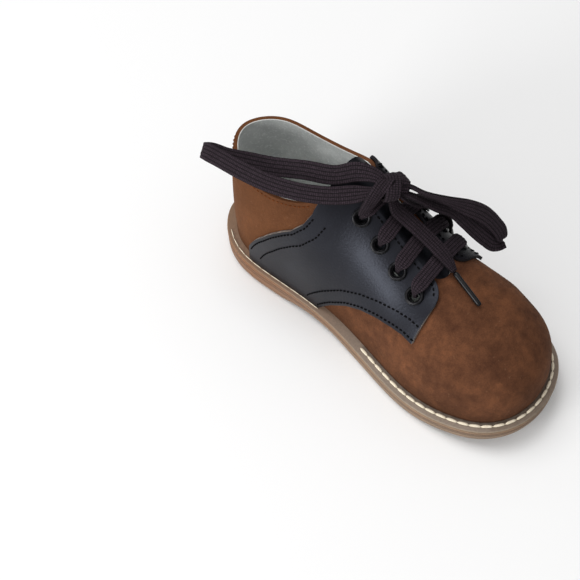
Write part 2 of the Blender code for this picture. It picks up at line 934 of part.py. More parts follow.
def strip_frame(line, across):
    points = line[:, :3]
    run = unit(np.gradient(points, axis=0))
    up = unit(np.cross(np.asarray(across, float), run))
    turn = np.radians(line[:, 3])[:, None]
    return points, up * np.cos(turn) + np.cross(run, up) * np.sin(turn)


def ribbon(name, points, up, width, material):
    run = unit(np.gradient(points, axis=0))
    up = unit(up - run * np.sum(up * run, axis=1)[:, None])
    across = np.cross(run, up)
    half = np.broadcast_to(width, len(points))[:, None] / 2
    rings = [
        points + across * half * side + up * LACE_THICKNESS / 2 * level
        for side, level in ((-1, -1), (1, -1), (1, 1), (-1, 1))
    ]
    corners = np.stack(rings, axis=1)
    count = len(points)
    faces = [(0, 1, 2, 3), tuple(4 * count - 4 + k for k in (3, 2, 1, 0))]
    for i in range(count - 1):
        for k in range(4):
            after = (k + 1) % 4
            faces.append((4 * i + k, 4 * i + 4 + k, 4 * i + 4 + after, 4 * i + after))
    item = mesh_object(name, corners.reshape(-1, 3), faces, material, smooth=False)
    tidy_mesh(item)
    return item


def bar_half(side, number):
    """Points, normals and widths of a bar from an eyelet to the throat's middle."""
    share = np.linspace(0.0, 1.0, 41)
    middle = (eyelet_along(-1, number) + eyelet_along(1, number)) / 2
    along = eyelet_along(side, number) * (1 - share) + middle * share
    under_knot = share**2 if number == 0 else np.zeros(len(share))
    along = along + KNOT_FORWARD * under_knot
    girth = width_girth(side, along, eyelet_spread(number) * (1 - share))
    seat, normal = side_surface(side, along, girth, SADDLE_GAP + SADDLE_WALL)
    step = np.linalg.norm(np.diff(seat, axis=0), axis=1)
    reach = np.concatenate([[0.0], np.cumsum(step)])
    near = np.array([row[0] for row in BAR_ROWS if row[0] < 1.5]) * EYELET_OUTER
    far = np.linspace(near[-1], reach[-1], BAR_STEPS + 1)[1:]
    at = np.concatenate([near, far])
    radii = np.minimum(at / EYELET_OUTER, BAR_ROWS[-1][0])
    rise = row_value(BAR_ROWS, 1, radii) + KNOT_LIFT * np.interp(at, reach, under_knot)
    keyed = np.column_stack([seat, normal])
    read = np.column_stack([np.interp(at, reach, column) for column in keyed.T])
    up = unit(read[:, 3:])
    points = to_world(read[:, :3] + up * rise[:, None])
    return points, up * np.array([1.0, -1.0, 1.0]), LACE_WIDTH * row_value(BAR_ROWS, 2, radii)


def build_bar(number):
    medial = bar_half(-1, number)
    lateral = bar_half(1, number)
    # The middle is the last point of both halves and is kept once.
    points, up, width = [np.concatenate([m, n[::-1][1:]]) for m, n in zip(medial, lateral)]
    return ribbon(f"lace_bar_{number + 1}", points, up, width, lace_material())


def build_strip(name, rows, across):
    line = route_line(rows, LACE_STEP)
    points, up = strip_frame(line, across)
    return ribbon(name, points, up, LACE_WIDTH * line[:, 4], lace_material())


def turned_body(name, start, end, profile, turns, material):
    """A closed solid of revolution: rows of share from start to end, and radius."""
    start = np.asarray(start, float)
    end = np.asarray(end, float)
    first, second = frame_about(unit(end - start))
    points = []
    for share, radius in profile:
        for i in range(turns):
            angle = 2 * math.pi * i / turns
            out = first * math.cos(angle) + second * math.sin(angle)
            points.append(start + (end - start) * share + out * radius)
    last = (len(profile) - 1) * turns
    faces = [tuple(range(turns))[::-1], tuple(range(last, last + turns))]
    for level in range(len(profile) - 1):
        for i in range(turns):
            ahead = (i + 1) % turns
            base = level * turns
            faces.append((base + i, base + ahead, base + turns + ahead, base + turns + i))
    item = mesh_object(name, points, faces, material)
    tidy_mesh(item)
    return item


AGLET_PROFILE = ((0.0, AGLET_RADIUS), (0.94, AGLET_RADIUS), (1.0, AGLET_RADIUS * 0.6))

KNOT_PROFILE = (
    (0.00, KNOT_RADIUS * 0.45),
    (0.12, KNOT_RADIUS * 0.78),
    (0.24, KNOT_RADIUS * 0.84),
    (0.28, KNOT_RADIUS * 0.98),
    (0.50, KNOT_RADIUS),
    (0.72, KNOT_RADIUS * 0.98),
    (0.76, KNOT_RADIUS * 0.84),
    (0.88, KNOT_RADIUS * 0.78),
    (1.00, KNOT_RADIUS * 0.45),
)


def build_knot():
    centre = np.array(KNOT_CENTRE)
    reach = np.array(KNOT_AXIS) * KNOT_HALF_LENGTH
    return turned_body(
        "lace_knot", centre - reach, centre + reach, KNOT_PROFILE, 10, lace_material()
    )


def build_lace():
    for number in range(EYELETS):
        build_bar(number)
    build_knot()
    build_strip("lace_loop_medial", MEDIAL_LOOP, LOOP_ACROSS)
    build_strip("lace_loop_lateral", LATERAL_LOOP, LOOP_ACROSS)
    build_strip("lace_end_medial", MEDIAL_END, MEDIAL_END_ACROSS)
    build_strip("lace_end_lateral", LATERAL_END, LATERAL_END_ACROSS)
    for name, ends in (("aglet_medial", MEDIAL_AGLET), ("aglet_lateral", LATERAL_AGLET)):
        turned_body(name, *ends, AGLET_PROFILE, 8, aglet_material())


def build():
    clear_scene()
    build_outsole()
    build_midsole()
    build_insole()
    upper = build_upper()
    saddles = {
        -1: build_saddle("saddle_medial", -1),
        1: build_saddle("saddle_lateral", 1),
    }
    build_tongue()
    for side, word in ((-1, "medial"), (1, "lateral")):
        for number in range(EYELETS):
            centre, axis = eyelet_seat(side, number)
            cut_hole(upper, centre, axis, f"upper_hole_{word}_{number}")
            cut_hole(saddles[side], centre, axis, f"saddle_hole_{word}_{number}")
            build_eyelet(f"eyelet_{word}_{number + 1}", side, number)
    build_lace()


build()
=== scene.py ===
import math

import bmesh
import bpy
import numpy as np
from mathutils import Matrix, Vector


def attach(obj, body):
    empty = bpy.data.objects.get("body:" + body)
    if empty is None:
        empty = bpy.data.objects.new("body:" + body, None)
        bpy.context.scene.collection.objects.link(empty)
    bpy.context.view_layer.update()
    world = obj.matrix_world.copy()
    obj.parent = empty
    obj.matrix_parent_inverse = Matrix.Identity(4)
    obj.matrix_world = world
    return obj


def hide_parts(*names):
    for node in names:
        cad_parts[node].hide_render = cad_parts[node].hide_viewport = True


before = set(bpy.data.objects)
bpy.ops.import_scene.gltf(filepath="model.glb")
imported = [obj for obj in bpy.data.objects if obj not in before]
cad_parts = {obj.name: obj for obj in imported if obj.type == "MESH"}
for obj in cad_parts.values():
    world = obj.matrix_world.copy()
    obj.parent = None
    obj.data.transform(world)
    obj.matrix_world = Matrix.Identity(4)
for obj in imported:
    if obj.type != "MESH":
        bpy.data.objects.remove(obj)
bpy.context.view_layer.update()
print("frame loaded")

mm = 0.001

# The last, as in the part's source: lengths in metres, shares of them in the tables.
last = {
    "length": 0.152,
    "ballWidth": 0.0594,
    "instep": 0.067,
    "heelSole": 0.0105,
    "heelBack": 0.0612,
    "heelCentre": 0.17,
    "toeCentre": 0.80,
    "gap": 0.0003,
    "wall": 0.0015,
    "weltLedge": 0.0038,
}

# station, offset across
planRows = (
    (0.000, 0.000),
    (0.055, 0.235),
    (0.170, 0.330),
    (0.400, 0.440),
    (0.620, 0.488),
    (0.800, 0.487),
    (0.945, 0.330),
    (1.000, -0.040),
    (0.955, -0.325),
    (0.840, -0.447),
    (0.700, -0.455),
    (0.430, -0.325),
    (0.170, -0.330),
    (0.055, -0.235),
)

# station, ridge, squareness, shift
sectionRows = (
    (0.00, 1.254, 3.40, 0.000),
    (0.15, 1.194, 3.30, 0.000),
    (0.30, 1.112, 2.80, 0.070),
    (0.42, 1.000, 2.00, 0.118),
    (0.52, 0.872, 1.95, 0.105),
    (0.62, 0.768, 2.00, 0.068),
    (0.72, 0.712, 2.25, 0.020),
    (0.82, 0.669, 2.45, 0.000),
    (0.92, 0.633, 2.50, 0.000),
    (1.00, 0.612, 2.50, 0.000),
)

# station, feather, tread
soleRows = (
    (0.00, 1.000, 0.030),
    (0.05, 0.995, 0.000),
    (0.27, 0.950, 0.000),
    (0.33, 0.900, 0.190),
    (0.44, 0.810, 0.190),
    (0.53, 0.745, 0.000),
    (0.74, 0.730, 0.000),
    (0.82, 0.820, 0.100),
    (0.91, 1.040, 0.330),
    (1.00, 1.380, 0.680),
)

# station, medial, lateral
toplineRows = (
    (0.00, 1.000, 1.000),
    (0.08, 0.985, 0.985),
    (0.17, 0.950, 0.950),
    (0.21, 0.945, 0.940),
    (0.26, 0.963, 0.938),
    (0.30, 0.992, 0.955),
    (0.333, 1.032, 0.990),
    (0.37, 1.090, 1.060),
    (0.41, 1.170, 1.150),
    (0.50, 1.400, 1.400),
    (1.00, 1.600, 1.600),
)

# station, low, high
saddleRows = (
    (0.147, 0.000, 0.020),
    (0.162, 0.000, 0.045),
    (0.199, 0.000, 0.105),
    (0.244, 0.000, 0.195),
    (0.290, 0.000, 0.295),
    (0.319, 0.000, 0.400),
    (0.334, 0.000, 0.510),
    (0.342, 0.000, 1.000),
    (0.392, 0.000, 1.000),
    (0.436, 0.107, 1.000),
    (0.486, 0.210, 1.000),
    (0.536, 0.292, 1.000),
    (0.585, 0.355, 1.000),
    (0.636, 0.405, 1.000),
    (0.671, 0.430, 1.000),
    (0.706, 0.436, 1.000),
)


def unit(vectors):
    # each vector over its own length
    length = np.linalg.norm(vectors, axis=-1)[..., None]
    return vectors / np.maximum(length, 1e-12)


def rowValue(rows, column, at):
    # cubic through the rows, with slopes from the neighbours, straight past the ends
    table = np.asarray(rows, float)
    x = table[:, 0]
    y = table[:, column]
    slope = np.gradient(y, x)
    at = np.asarray(at, float)
    inside = np.clip(at, x[0], x[-1])
    k = np.clip(np.searchsorted(x, inside, side="right") - 1, 0, len(x) - 2)
    span = x[k + 1] - x[k]
    u = (inside - x[k]) / span
    value = (
        (1 + 2 * u) * (1 - u) ** 2 * y[k]
        + u * (1 - u) ** 2 * span * slope[k]
        + u * u * (3 - 2 * u) * y[k + 1]
        + u * u * (u - 1) * span * slope[k + 1]
    )
    end = np.where(at > x[-1], slope[-1], slope[0])
    return value + (at - inside) * end


def featherHeight(along):
    # the line where the upper meets the sole, as its share of the heel's sole
    return last["heelSole"] * rowValue(soleRows, 1, np.asarray(along) / last["length"])


def treadHeight(along):
    # the sole's underside, never below the floor
    share = rowValue(soleRows, 2, np.asarray(along) / last["length"])
    return last["heelSole"] * np.maximum(share, 0.0)


def ridgeHeight(along):
    # the last's top line seen from the side
    inside = np.minimum(along, last["length"]) / last["length"]
    return last["instep"] * rowValue(sectionRows, 1, inside)


def spineShift(along):
    # how far across the top line lies
    return last["ballWidth"] * rowValue(sectionRows, 3, np.asarray(along) / last["length"])


def closedCurve(points, count):
    # periodic cubic spline through the points, knots by the root of the chord
    ring = np.vstack([points, points[:1]])
    knots = np.concatenate([[0.0], np.cumsum(np.sqrt(np.linalg.norm(np.diff(ring, axis=0), axis=1)))])
    step = np.diff(knots)
    size = len(points)
    rows = np.arange(size)
    before = step[rows - 1]
    matrix = np.zeros((size, size))
    matrix[rows, rows - 1] += step
    matrix[rows, rows] += 2 * (before + step)
    matrix[rows, (rows + 1) % size] += before
    backward = (points - np.roll(points, 1, axis=0)) / before[:, None]
    forward = (ring[1:] - points) / step[:, None]
    slope = np.linalg.solve(matrix, 3 * (step[:, None] * backward + before[:, None] * forward))
    slope = np.vstack([slope, slope[:1]])
    at = np.linspace(0, knots[-1], count, endpoint=False)
    k = np.clip(np.searchsorted(knots, at, side="right") - 1, 0, size - 1)
    h = step[k][:, None]
    u = ((at - knots[k]) / step[k])[:, None]
    return (
        (1 + 2 * u) * (1 - u) ** 2 * ring[k]
        + u * (1 - u) ** 2 * h * slope[k]
        + u * u * (3 - 2 * u) * ring[k + 1]
        + u * u * (u - 1) * h * slope[k + 1]
    )


def planOutline(offset=0.0, count=720):
    # the feather line seen from above, moved out by the offset along its normal
    table = np.array(planRows)
    points = np.column_stack([table[:, 1] * last["ballWidth"], table[:, 0] * last["length"]])
    line = closedCurve(points, count)
    run = unit(np.roll(line, -1, axis=0) - np.roll(line, 1, axis=0))
    normal = np.column_stack([run[:, 1], -run[:, 0]])
    if np.mean(np.sum(normal * (line - line.mean(axis=0)), axis=1)) < 0:
        normal = -normal
    return line + normal * offset


def halfOutline(offset, side):
    # one side of the outline, heel to toe, where it still runs forward
    line = planOutline(offset)
    line = np.roll(line, -int(np.argmin(line[:, 1])), axis=0)
    end = int(np.argmax(line[:, 1]))
    one = line[: end + 1]
    other = np.vstack([line[end:], line[:1]])[::-1]
    lateral, medial = (one, other) if one[:, 0].mean() > other[:, 0].mean() else (other, one)
    half = lateral if side > 0 else medial
    keep = np.concatenate([[True], np.diff(np.maximum.accumulate(half[:, 1])) > 1e-9])
    return half[keep]


outlineKept = {}


def acrossAt(offset, side, along):
    # the outline's distance across at a length, from the half that is kept once made
    key = (round(offset, 7), side)
    if key not in outlineKept:
        outlineKept[key] = halfOutline(offset, side)
    half = outlineKept[key]
    return np.interp(along, half[:, 1], half[:, 0])


boxLine = planOutline(last["weltLedge"])
centreLine = (boxLine.min(axis=0) + boxLine.max(axis=0)) / 2


def toWorld(points):
    # across, along from the heel and height, turned so that the toe is toward -Y
    points = np.asarray(points, float)
    return np.stack(
        [points[..., 0] - centreLine[0], centreLine[1] - points[..., 1], points[..., 2]], axis=-1
    )


def worldNormal(normal):
    # the same turn for directions
    return normal * np.array([1.0, -1.0, 1.0])


def lastPoint(foot, spine, girth):
    # superellipse arch from the feather line to the ridge, a little fuller near the sole
    foot = np.asarray(foot, float)
    spine = np.asarray(spine, float)
    girth = np.clip(girth, 0.0, 1.0)
    angle = girth * math.pi / 2
    power = 2 / rowValue(sectionRows, 2, spine[..., 1] / last["length"])
    inward = 1 - np.maximum(np.cos(angle), 0.0) ** power
    upward = np.maximum(np.sin(angle), 0.0) ** power
    bulge = 0.05 * np.sin(2 * angle) ** 2 * (1 - girth)
    plan = foot + (spine - foot) * (inward - bulge)[..., None]
    low = featherHeight(foot[..., 1])
    height = low + (ridgeHeight(plan[..., 1]) - low) * upward
    return np.concatenate([plan, height[..., None]], axis=-1)


def sideColumn(side, along):
    # a column's foot on the feather line and its top on the ridge
    along = np.asarray(along, float)
    foot = np.stack([acrossAt(0.0, side, along), along], axis=-1)
    spine = np.stack([spineShift(along), along], axis=-1)
    return foot, spine


def fanColumn(end, degrees):
    # columns that turn about the heel's or the toe's centre
    share = last["toeCentre"] if end > 0 else last["heelCentre"]
    centre = np.array([0.0, share * last["length"]])
    centre[0] = spineShift(centre[1])
    rel = planOutline() - centre
    bearing = np.degrees(np.arctan2(rel[:, 0], rel[:, 1] * end))
    order = np.argsort(bearing)
    reach = np.interp(degrees, bearing[order], np.linalg.norm(rel, axis=1)[order])
    turn = np.radians(degrees)
    foot = np.stack(
        [centre[0] + reach * np.sin(turn), centre[1] + reach * np.cos(turn) * end], axis=-1
    )
    return foot, np.broadcast_to(centre, foot.shape)


def sideSurface(side, along, girth, lift=0.0):
    # point on a side of the last, lifted along its normal, and that normal
    along, girth = np.broadcast_arrays(np.asarray(along, float), girth)
    grow = 2e-4
    ahead = lastPoint(*sideColumn(side, along + grow), girth)
    back = lastPoint(*sideColumn(side, along - grow), girth)
    foot, spine = sideColumn(side, along)
    here = lastPoint(foot, spine, girth)
    up = lastPoint(foot, spine, np.minimum(girth + 0.004, 1.0))
    down = lastPoint(foot, spine, np.maximum(girth - 0.004, 0.0))
    normal = unit(np.cross(ahead - back, up - down) * side)
    return here + normal * np.asarray(lift)[..., None], normal


def firstReach(rising, level, girth):
    # girth at which each row of a rising table first reaches its level
    count = rising.shape[1]
    k = np.clip((rising < level[:, None]).sum(axis=1), 1, count - 1)
    row = np.arange(len(level))
    low = rising[row, k - 1]
    high = rising[row, k]
    share = np.clip((level - low) / np.maximum(high - low, 1e-12), 0.0, 1.0)
    return girth[k - 1] + (girth[k] - girth[k - 1]) * share


def girthAtHeight(foot, spine, height):
    # girth where each column first reaches a height
    girth = np.linspace(0.0, 1.0, 321)
    points = lastPoint(foot[:, None, :], spine[:, None, :], girth[None, :])
    return firstReach(np.maximum.accumulate(points[..., 2], axis=1), height, girth)


def girthAtWidth(foot, spine, width):
    # girth where each column first comes that near the ridge
    girth = np.linspace(0.0, 1.0, 321)
    points = lastPoint(foot[:, None, :], spine[:, None, :], girth[None, :])
    away = np.linalg.norm(points[..., :2] - spine[:, None, :], axis=-1)
    return firstReach(-np.minimum.accumulate(away, axis=1), -width, girth)


throat = {"halfWidth": 0.0060, "roundFrom": 0.640, "end": 0.682}


def throatWidth(along):
    # half the throat's opening, closed by a quarter ellipse at its end
    end = throat["end"] * last["length"]
    roundFrom = throat["roundFrom"] * last["length"]
    share = np.clip((along - roundFrom) / (end - roundFrom), 0.0, 1.0)
    return throat["halfWidth"] * np.sqrt(1 - share**2)


def smaller(one, other, blend):
    # the smaller of two values with a rounded change between them
    share = np.clip(0.5 + 0.5 * (other - one) / blend, 0.0, 1.0)
    return other + (one - other) * share - blend * share * (1 - share)


def edgeGirth(foot, spine, width):
    # the collar's height and the throat's edge, whichever is lower, blended
    station = foot[:, 1] / last["length"]
    lateral = np.clip(0.5 + foot[:, 0] / last["ballWidth"] * 2, 0.0, 1.0)
    share = rowValue(toplineRows, 1, station) * (1 - lateral)
    share = share + rowValue(toplineRows, 2, station) * lateral
    byHeight = girthAtHeight(foot, spine, last["heelBack"] * share)
    return smaller(byHeight, girthAtWidth(foot, spine, width), 0.05)


# Nodes and materials

def linear(colour):
    # sRGB hex to linear light, by the standard's two-part curve
    values = np.array([int(colour[i : i + 2], 16) / 255 for i in (1, 3, 5)])
    return np.where(values <= 0.04045, values / 12.92, ((values + 0.055) / 1.055) ** 2.4)


def feed(tree, socket, value):
    # a socket's link, its colour from a hex value, or its plain value
    if isinstance(value, bpy.types.NodeSocket):
        tree.links.new(value, socket)
    elif isinstance(value, str):
        socket.default_value = (*linear(value), 1.0)
    else:
        socket.default_value = value


def addNode(tree, kind, given=None, output=0):
    # one node with its attributes, its ramp's stops and what feeds its sockets; one output comes back
    node = tree.nodes.new("ShaderNode" + kind)
    for name, value in (given or {}).items():
        if name == "stops":
            elements = node.color_ramp.elements
            while len(elements) < len(value):
                elements.new(0.5)
            for element, (place, colour) in zip(elements, value):
                element.position = place
                element.color = (*linear(colour), 1.0)
        elif isinstance(name, str) and hasattr(node, name):
            setattr(node, name, value)
        else:
            feed(tree, node.inputs[name], value)
    return node.outputs[output]


def newMaterial(name):
    # an empty material, its nodes, and where it is on the object in metres
    material = bpy.data.materials.new(name)
    material.use_nodes = True
    tree = material.node_tree
    return material, tree, addNode(tree, "TexCoord", output="Object")


def dress(tree, given):
    # the shader's own sockets take those links, colours and values
    for name, value in given.items():
        feed(tree, tree.nodes["Principled BSDF"].inputs[name], value)


mixing = {"data_type": "RGBA"}
multiplying = {"data_type": "RGBA", "blend_type": "MULTIPLY"}

suede = {
    "dark": "#3F2519",
    "middle": "#5C3A27",
    "light": "#754A31",
    "fleck": "#8E6B52",
    "heelTint": "#684126",
    # painted shade: the colour the suede is darkened to low on the upper, near the sole
    "paintedShadeNearSole": "#3B2417",
    "sheen": "#B48A68",
    "mottle": 16 * mm,
    "cloud": 4.5 * mm,
    "fleckSize": 1.3 * mm,
    "nap": 0.55 * mm,
    "soleFrom": 8 * mm,
    "soleTo": 21 * mm,
    "heelFrom": -15 * mm,
    "heelTo": 45 * mm,
}


def brushedSuede():
    # brushed cow suede: short nap, so matte, mottled and soft at the rims
    material, tree, place = newMaterial("brushed brown suede")
    wide, cloud, nap, fine = (
        addNode(tree, "TexNoise", {"Vector": place, "Scale": 1 / suede[size], "Detail": d, "Roughness": r})
        for size, d, r in (("mottle", 4, 0.6), ("cloud", 4, 0.62), ("nap", 3, 0.7), ("fleckSize", 2, 0.5))
    )
    wideShare = addNode(tree, "Math", {"operation": "MULTIPLY", 0: wide, 1: 0.55})
    mixed = addNode(tree, "Math", {"operation": "MULTIPLY_ADD", 0: cloud, 1: 0.45, 2: wideShare})
    stops = ((0.30, suede["dark"]), (0.50, suede["middle"]), (0.68, suede["light"]))
    base = addNode(tree, "ValToRGB", {"Fac": mixed, "stops": stops})
    along = addNode(tree, "SeparateXYZ", {"Vector": place}, "Y")
    towardHeel = addNode(
        tree,
        "MapRange",
        {"Value": along, "From Min": suede["heelFrom"], "From Max": suede["heelTo"], "To Max": 0.62},
    )
    tinted = addNode(tree, "Mix", {**mixing, 0: towardHeel, 6: base, 7: suede["heelTint"]}, 2)
    # painted shade: the suede darkens from soleTo down to soleFrom, toward the sole
    height = addNode(tree, "SeparateXYZ", {"Vector": place}, "Z")
    low = {"From Min": suede["soleFrom"], "From Max": suede["soleTo"], "To Min": 0.55, "To Max": 0.0}
    paintedShadeNearSole = addNode(tree, "MapRange", {"Value": height, **low})
    lower = addNode(tree, "Mix", {**mixing, 0: paintedShadeNearSole, 6: tinted, 7: suede["paintedShadeNearSole"]}, 2)
    napRange = {"From Min": 0.3, "From Max": 0.7, "To Min": 0.80, "To Max": 1.16}
    napShade = addNode(tree, "MapRange", {"Value": nap, **napRange})
    shaded = addNode(tree, "Mix", {**multiplying, 0: 1.0, 6: lower, 7: napShade}, 2)
    flecks = addNode(tree, "MapRange", {"Value": fine, "From Min": 0.68, "From Max": 0.80, "To Max": 0.35})
    soft = addNode(tree, "Bump", {"Height": cloud, "Distance": 0.5 * mm, "Strength": 0.35})
    napBump = {"Height": nap, "Distance": 0.16 * mm, "Strength": 0.7, "Normal": soft}
    dress(tree, {
        "Base Color": addNode(tree, "Mix", {**mixing, 0: flecks, 6: shaded, 7: suede["fleck"]}, 2),
        "Normal": addNode(tree, "Bump", napBump),
        "Roughness": 0.9,
        "IOR": 1.45,
        "Specular IOR Level": 0.12,
        "Sheen Weight": 0.06,
        "Sheen Roughness": 0.5,
        "Sheen Tint": suede["sheen"],
    })
    return material


calf = {
    "deep": "#0F0E11",
    "body": "#161519",
    "worn": "#1D1E23",
    "bloom": "#D6DEF2",
    "patch": 22 * mm,
    "grain": 0.9 * mm,
    "dullFrom": 3 * mm,
    "dullTo": 12 * mm,
}


def smoothLeather():
    # corrected-grain calf with a wax finish: satin, fine pores, faint blue bloom
    material, tree, place = newMaterial("smooth dark leather")
    wide, grain = (
        addNode(tree, "TexNoise", {"Vector": place, "Scale": 1 / calf[size], "Detail": d, "Roughness": r})
        for size, d, r in (("patch", 3, 0.5), ("grain", 4, 0.6))
    )
    pores = addNode(tree, "TexVoronoi", {"Vector": place, "Scale": 1 / calf["grain"]}, "Distance")
    stops = ((0.30, calf["deep"]), (0.52, calf["body"]), (0.72, calf["worn"]))
    rough = {"From Min": 0.3, "From Max": 0.7, "To Min": 0.42, "To Max": 0.35}
    # the lateral flap has lost its wax and is dull
    across = addNode(tree, "SeparateXYZ", {"Vector": place}, "X")
    gloss = {"From Min": calf["dullFrom"], "From Max": calf["dullTo"], "To Min": 0.27, "To Max": 0.03}
    soft = addNode(tree, "Bump", {"Height": grain, "Distance": 0.10 * mm, "Strength": 0.5})
    poreBump = {"Height": pores, "Distance": 0.08 * mm, "Strength": 0.35, "Normal": soft}
    dress(tree, {
        "Base Color": addNode(tree, "ValToRGB", {"Fac": wide, "stops": stops}),
        "Roughness": addNode(tree, "MapRange", {"Value": wide, **rough}),
        "Specular IOR Level": addNode(tree, "MapRange", {"Value": across, **gloss}),
        "Specular Tint": calf["bloom"],
        "IOR": 1.5,
        "Normal": addNode(tree, "Bump", poreBump),
    })
    return material


def plainMaterial(name, colour, patchColour, patch, bump, given):
    # one colour with soft patches of a second and a fine bump of the same size
    material, tree, place = newMaterial(name)
    noise = addNode(tree, "TexNoise", {"Vector": place, "Scale": 1 / patch, "Detail": 4, "Roughness": 0.6})
    share = addNode(tree, "MapRange", {"Value": noise, "From Min": 0.35, "From Max": 0.7})
    dress(tree, {
        "Base Color": addNode(tree, "Mix", {**mixing, 0: share, 6: colour, 7: patchColour}, 2),
        "Normal": addNode(tree, "Bump", {"Height": noise, "Distance": bump, "Strength": 0.6}),
        **given,
    })
    return material


cutEdge = {"dark": "#232124", "pale": "#9A9088", "paleFrom": -10 * mm, "paleTo": -17 * mm, "patch": 4 * mm}


def rawEdge():
    # cut edge of the leather, where the pale core shows on the medial side
    material, tree, place = newMaterial("cut leather edge")
    across = addNode(tree, "SeparateXYZ", {"Vector": place}, "X")
    span = {"From Min": cutEdge["paleFrom"], "From Max": cutEdge["paleTo"]}
    worn = addNode(tree, "MapRange", {"Value": across, **span})
    noise = addNode(
        tree, "TexNoise", {"Vector": place, "Scale": 1 / cutEdge["patch"], "Detail": 3, "Roughness": 0.55}
    )
    patchy = addNode(tree, "MapRange", {"Value": noise, "From Min": 0.35, "From Max": 0.65, "To Min": 0.4})
    share = addNode(tree, "Math", {"operation": "MULTIPLY", 0: worn, 1: patchy})
    dress(tree, {
        "Base Color": addNode(tree, "Mix", {**mixing, 0: share, 6: cutEdge["dark"], 7: cutEdge["pale"]}, 2),
        "Roughness": 0.85,
        "Specular IOR Level": 0.1,
    })
    return material


pigskin = {
    "stops": ((0.30, "#C9CCCB"), (0.55, "#DEE1DF"), (0.75, "#EDF0EE")),
    "fleck": "#FAFCFB",
    "patch": 12 * mm,
    "pore": 1.1 * mm,
}


def liningLeather():
    # pigskin lining with a silver-grey finish: fine pores, worn paler in flecks
    material, tree, place = newMaterial("silver-grey lining leather")
    wide, fine = (
        addNode(tree, "TexNoise", {"Vector": place, "Scale": 1 / pigskin[size], "Detail": 4, "Roughness": r})
        for size, r in (("patch", 0.6), ("pore", 0.65))
    )
    base = addNode(tree, "ValToRGB", {"Fac": wide, "stops": pigskin["stops"]})
    share = addNode(tree, "MapRange", {"Value": fine, "From Min": 0.52, "From Max": 0.68, "To Max": 0.75})
    dress(tree, {
        "Base Color": addNode(tree, "Mix", {**mixing, 0: share, 6: base, 7: pigskin["fleck"]}, 2),
        "Normal": addNode(tree, "Bump", {"Height": fine, "Distance": 0.12 * mm, "Strength": 0.6}),
        "Roughness": 0.55,
    })
    return material


# level of the side from 0 below to 1 above, and the rubber's colour there; the dark bands at the grooves, at
# the bottom and on the ledge's top are painted shade
weltBandsAndPaintedShade = (
    (0.02, "#4A3A2D"),
    (0.10, "#94745A"),
    (0.26, "#8A6B52"),
    (0.31, "#54402F"),
    (0.37, "#A4886C"),
    (0.60, "#8F7257"),
    (0.66, "#574433"),
    (0.73, "#A08F76"),
    (1.00, "#7F7063"),
)
# the outsole's bands: the dark ones at its groove and at its top, under the band, are painted shade
treadBandsAndPaintedShade = ((0.00, "#7A6754"), (0.70, "#8E7660"), (0.80, "#5B4838"), (0.88, "#9A7C60"), (1.00, "#4F3E31"))
rubber = {"heel": "#F2CBA8", "dust": "#6E6052", "patch": 14 * mm, "speck": 0.7 * mm, "rib": 2.4 * mm}


def weltRubber(name, bands):
    # moulded rubber, scuffed: matte bands round its side, with painted shade in the dark bands at the grooves
    # and joins, patches of dust, browner heel
    material, tree, place = newMaterial(name)
    wide = addNode(
        tree, "TexNoise", {"Vector": place, "Scale": 1 / rubber["patch"], "Detail": 4, "Roughness": 0.65}
    )
    fine = addNode(
        tree, "TexNoise", {"Vector": place, "Scale": 1 / rubber["speck"], "Detail": 3, "Roughness": 0.6}
    )
    uv = addNode(tree, "TexCoord", output="UV")
    level = addNode(tree, "SeparateXYZ", {"Vector": uv}, "Y")
    # the bands, with painted shade at the grooves and joins
    clean = addNode(tree, "ValToRGB", {"Fac": level, "stops": bands})
    along = addNode(tree, "SeparateXYZ", {"Vector": place}, "Y")
    towardHeel = addNode(tree, "MapRange", {"Value": along, "From Min": -0.02, "From Max": 0.05})
    warm = addNode(tree, "Mix", {**multiplying, 0: 1.0, 6: clean, 7: rubber["heel"]}, 2)
    base = addNode(tree, "Mix", {**mixing, 0: towardHeel, 6: clean, 7: warm}, 2)
    dustRange = {"From Min": 0.35, "From Max": 0.68, "To Min": 0.35, "To Max": 0.0}
    dusty = addNode(tree, "MapRange", {"Value": wide, **dustRange})
    tinted = addNode(tree, "Mix", {**mixing, 0: dusty, 6: base, 7: rubber["dust"]}, 2)
    speckRange = {"From Min": 0.3, "From Max": 0.72, "To Min": 0.84, "To Max": 1.12}
    speck = addNode(tree, "MapRange", {"Value": fine, **speckRange})
    dress(tree, {
        "Base Color": addNode(tree, "Mix", {**multiplying, 0: 1.0, 6: tinted, 7: speck}, 2),
        "Normal": addNode(tree, "Bump", {"Height": fine, "Distance": 0.08 * mm, "Strength": 0.5}),
        "Roughness": 0.62,
        "IOR": 1.5,
    })
    return material


def treadRubber():
    # the outsole's rubber with shallow ribs across its underside
    material = weltRubber("moulded tan rubber", treadBandsAndPaintedShade)
    tree = material.node_tree
    place = addNode(tree, "TexCoord", output="Object")
    # the wave texture has 3.18 bands to one unit of its scale
    bands = {"bands_direction": "Y", "wave_profile": "SIN", "Scale": 1 / rubber["rib"] / 3.18}
    wave = addNode(tree, "TexWave", {"Vector": place, **bands}, "Fac")
    normal = addNode(tree, "NewGeometry", output="Normal")
    down = addNode(tree, "SeparateXYZ", {"Vector": normal}, "Z")
    underRange = {"From Min": -0.9, "From Max": -0.6, "To Min": 1.0, "To Max": 0.0}
    under = addNode(tree, "MapRange", {"Value": down, **underRange})
    ribs = addNode(tree, "Math", {"operation": "MULTIPLY", 0: wave, 1: under})
    before = tree.nodes["Principled BSDF"].inputs["Normal"].links[0].from_socket
    bump = {"Height": ribs, "Distance": 0.5 * mm, "Strength": 0.8, "Normal": before}
    dress(tree, {"Normal": addNode(tree, "Bump", bump)})
    return material


woven = {
    "dark": "#120E11",
    "body": "#241D22",
    "fleck": "#40353D",
    "sheen": "#8A7480",
    "rib": 1.25,
    "pick": 1.55,
    "drift": 3 * mm,
    "hair": 0.5 * mm,
}


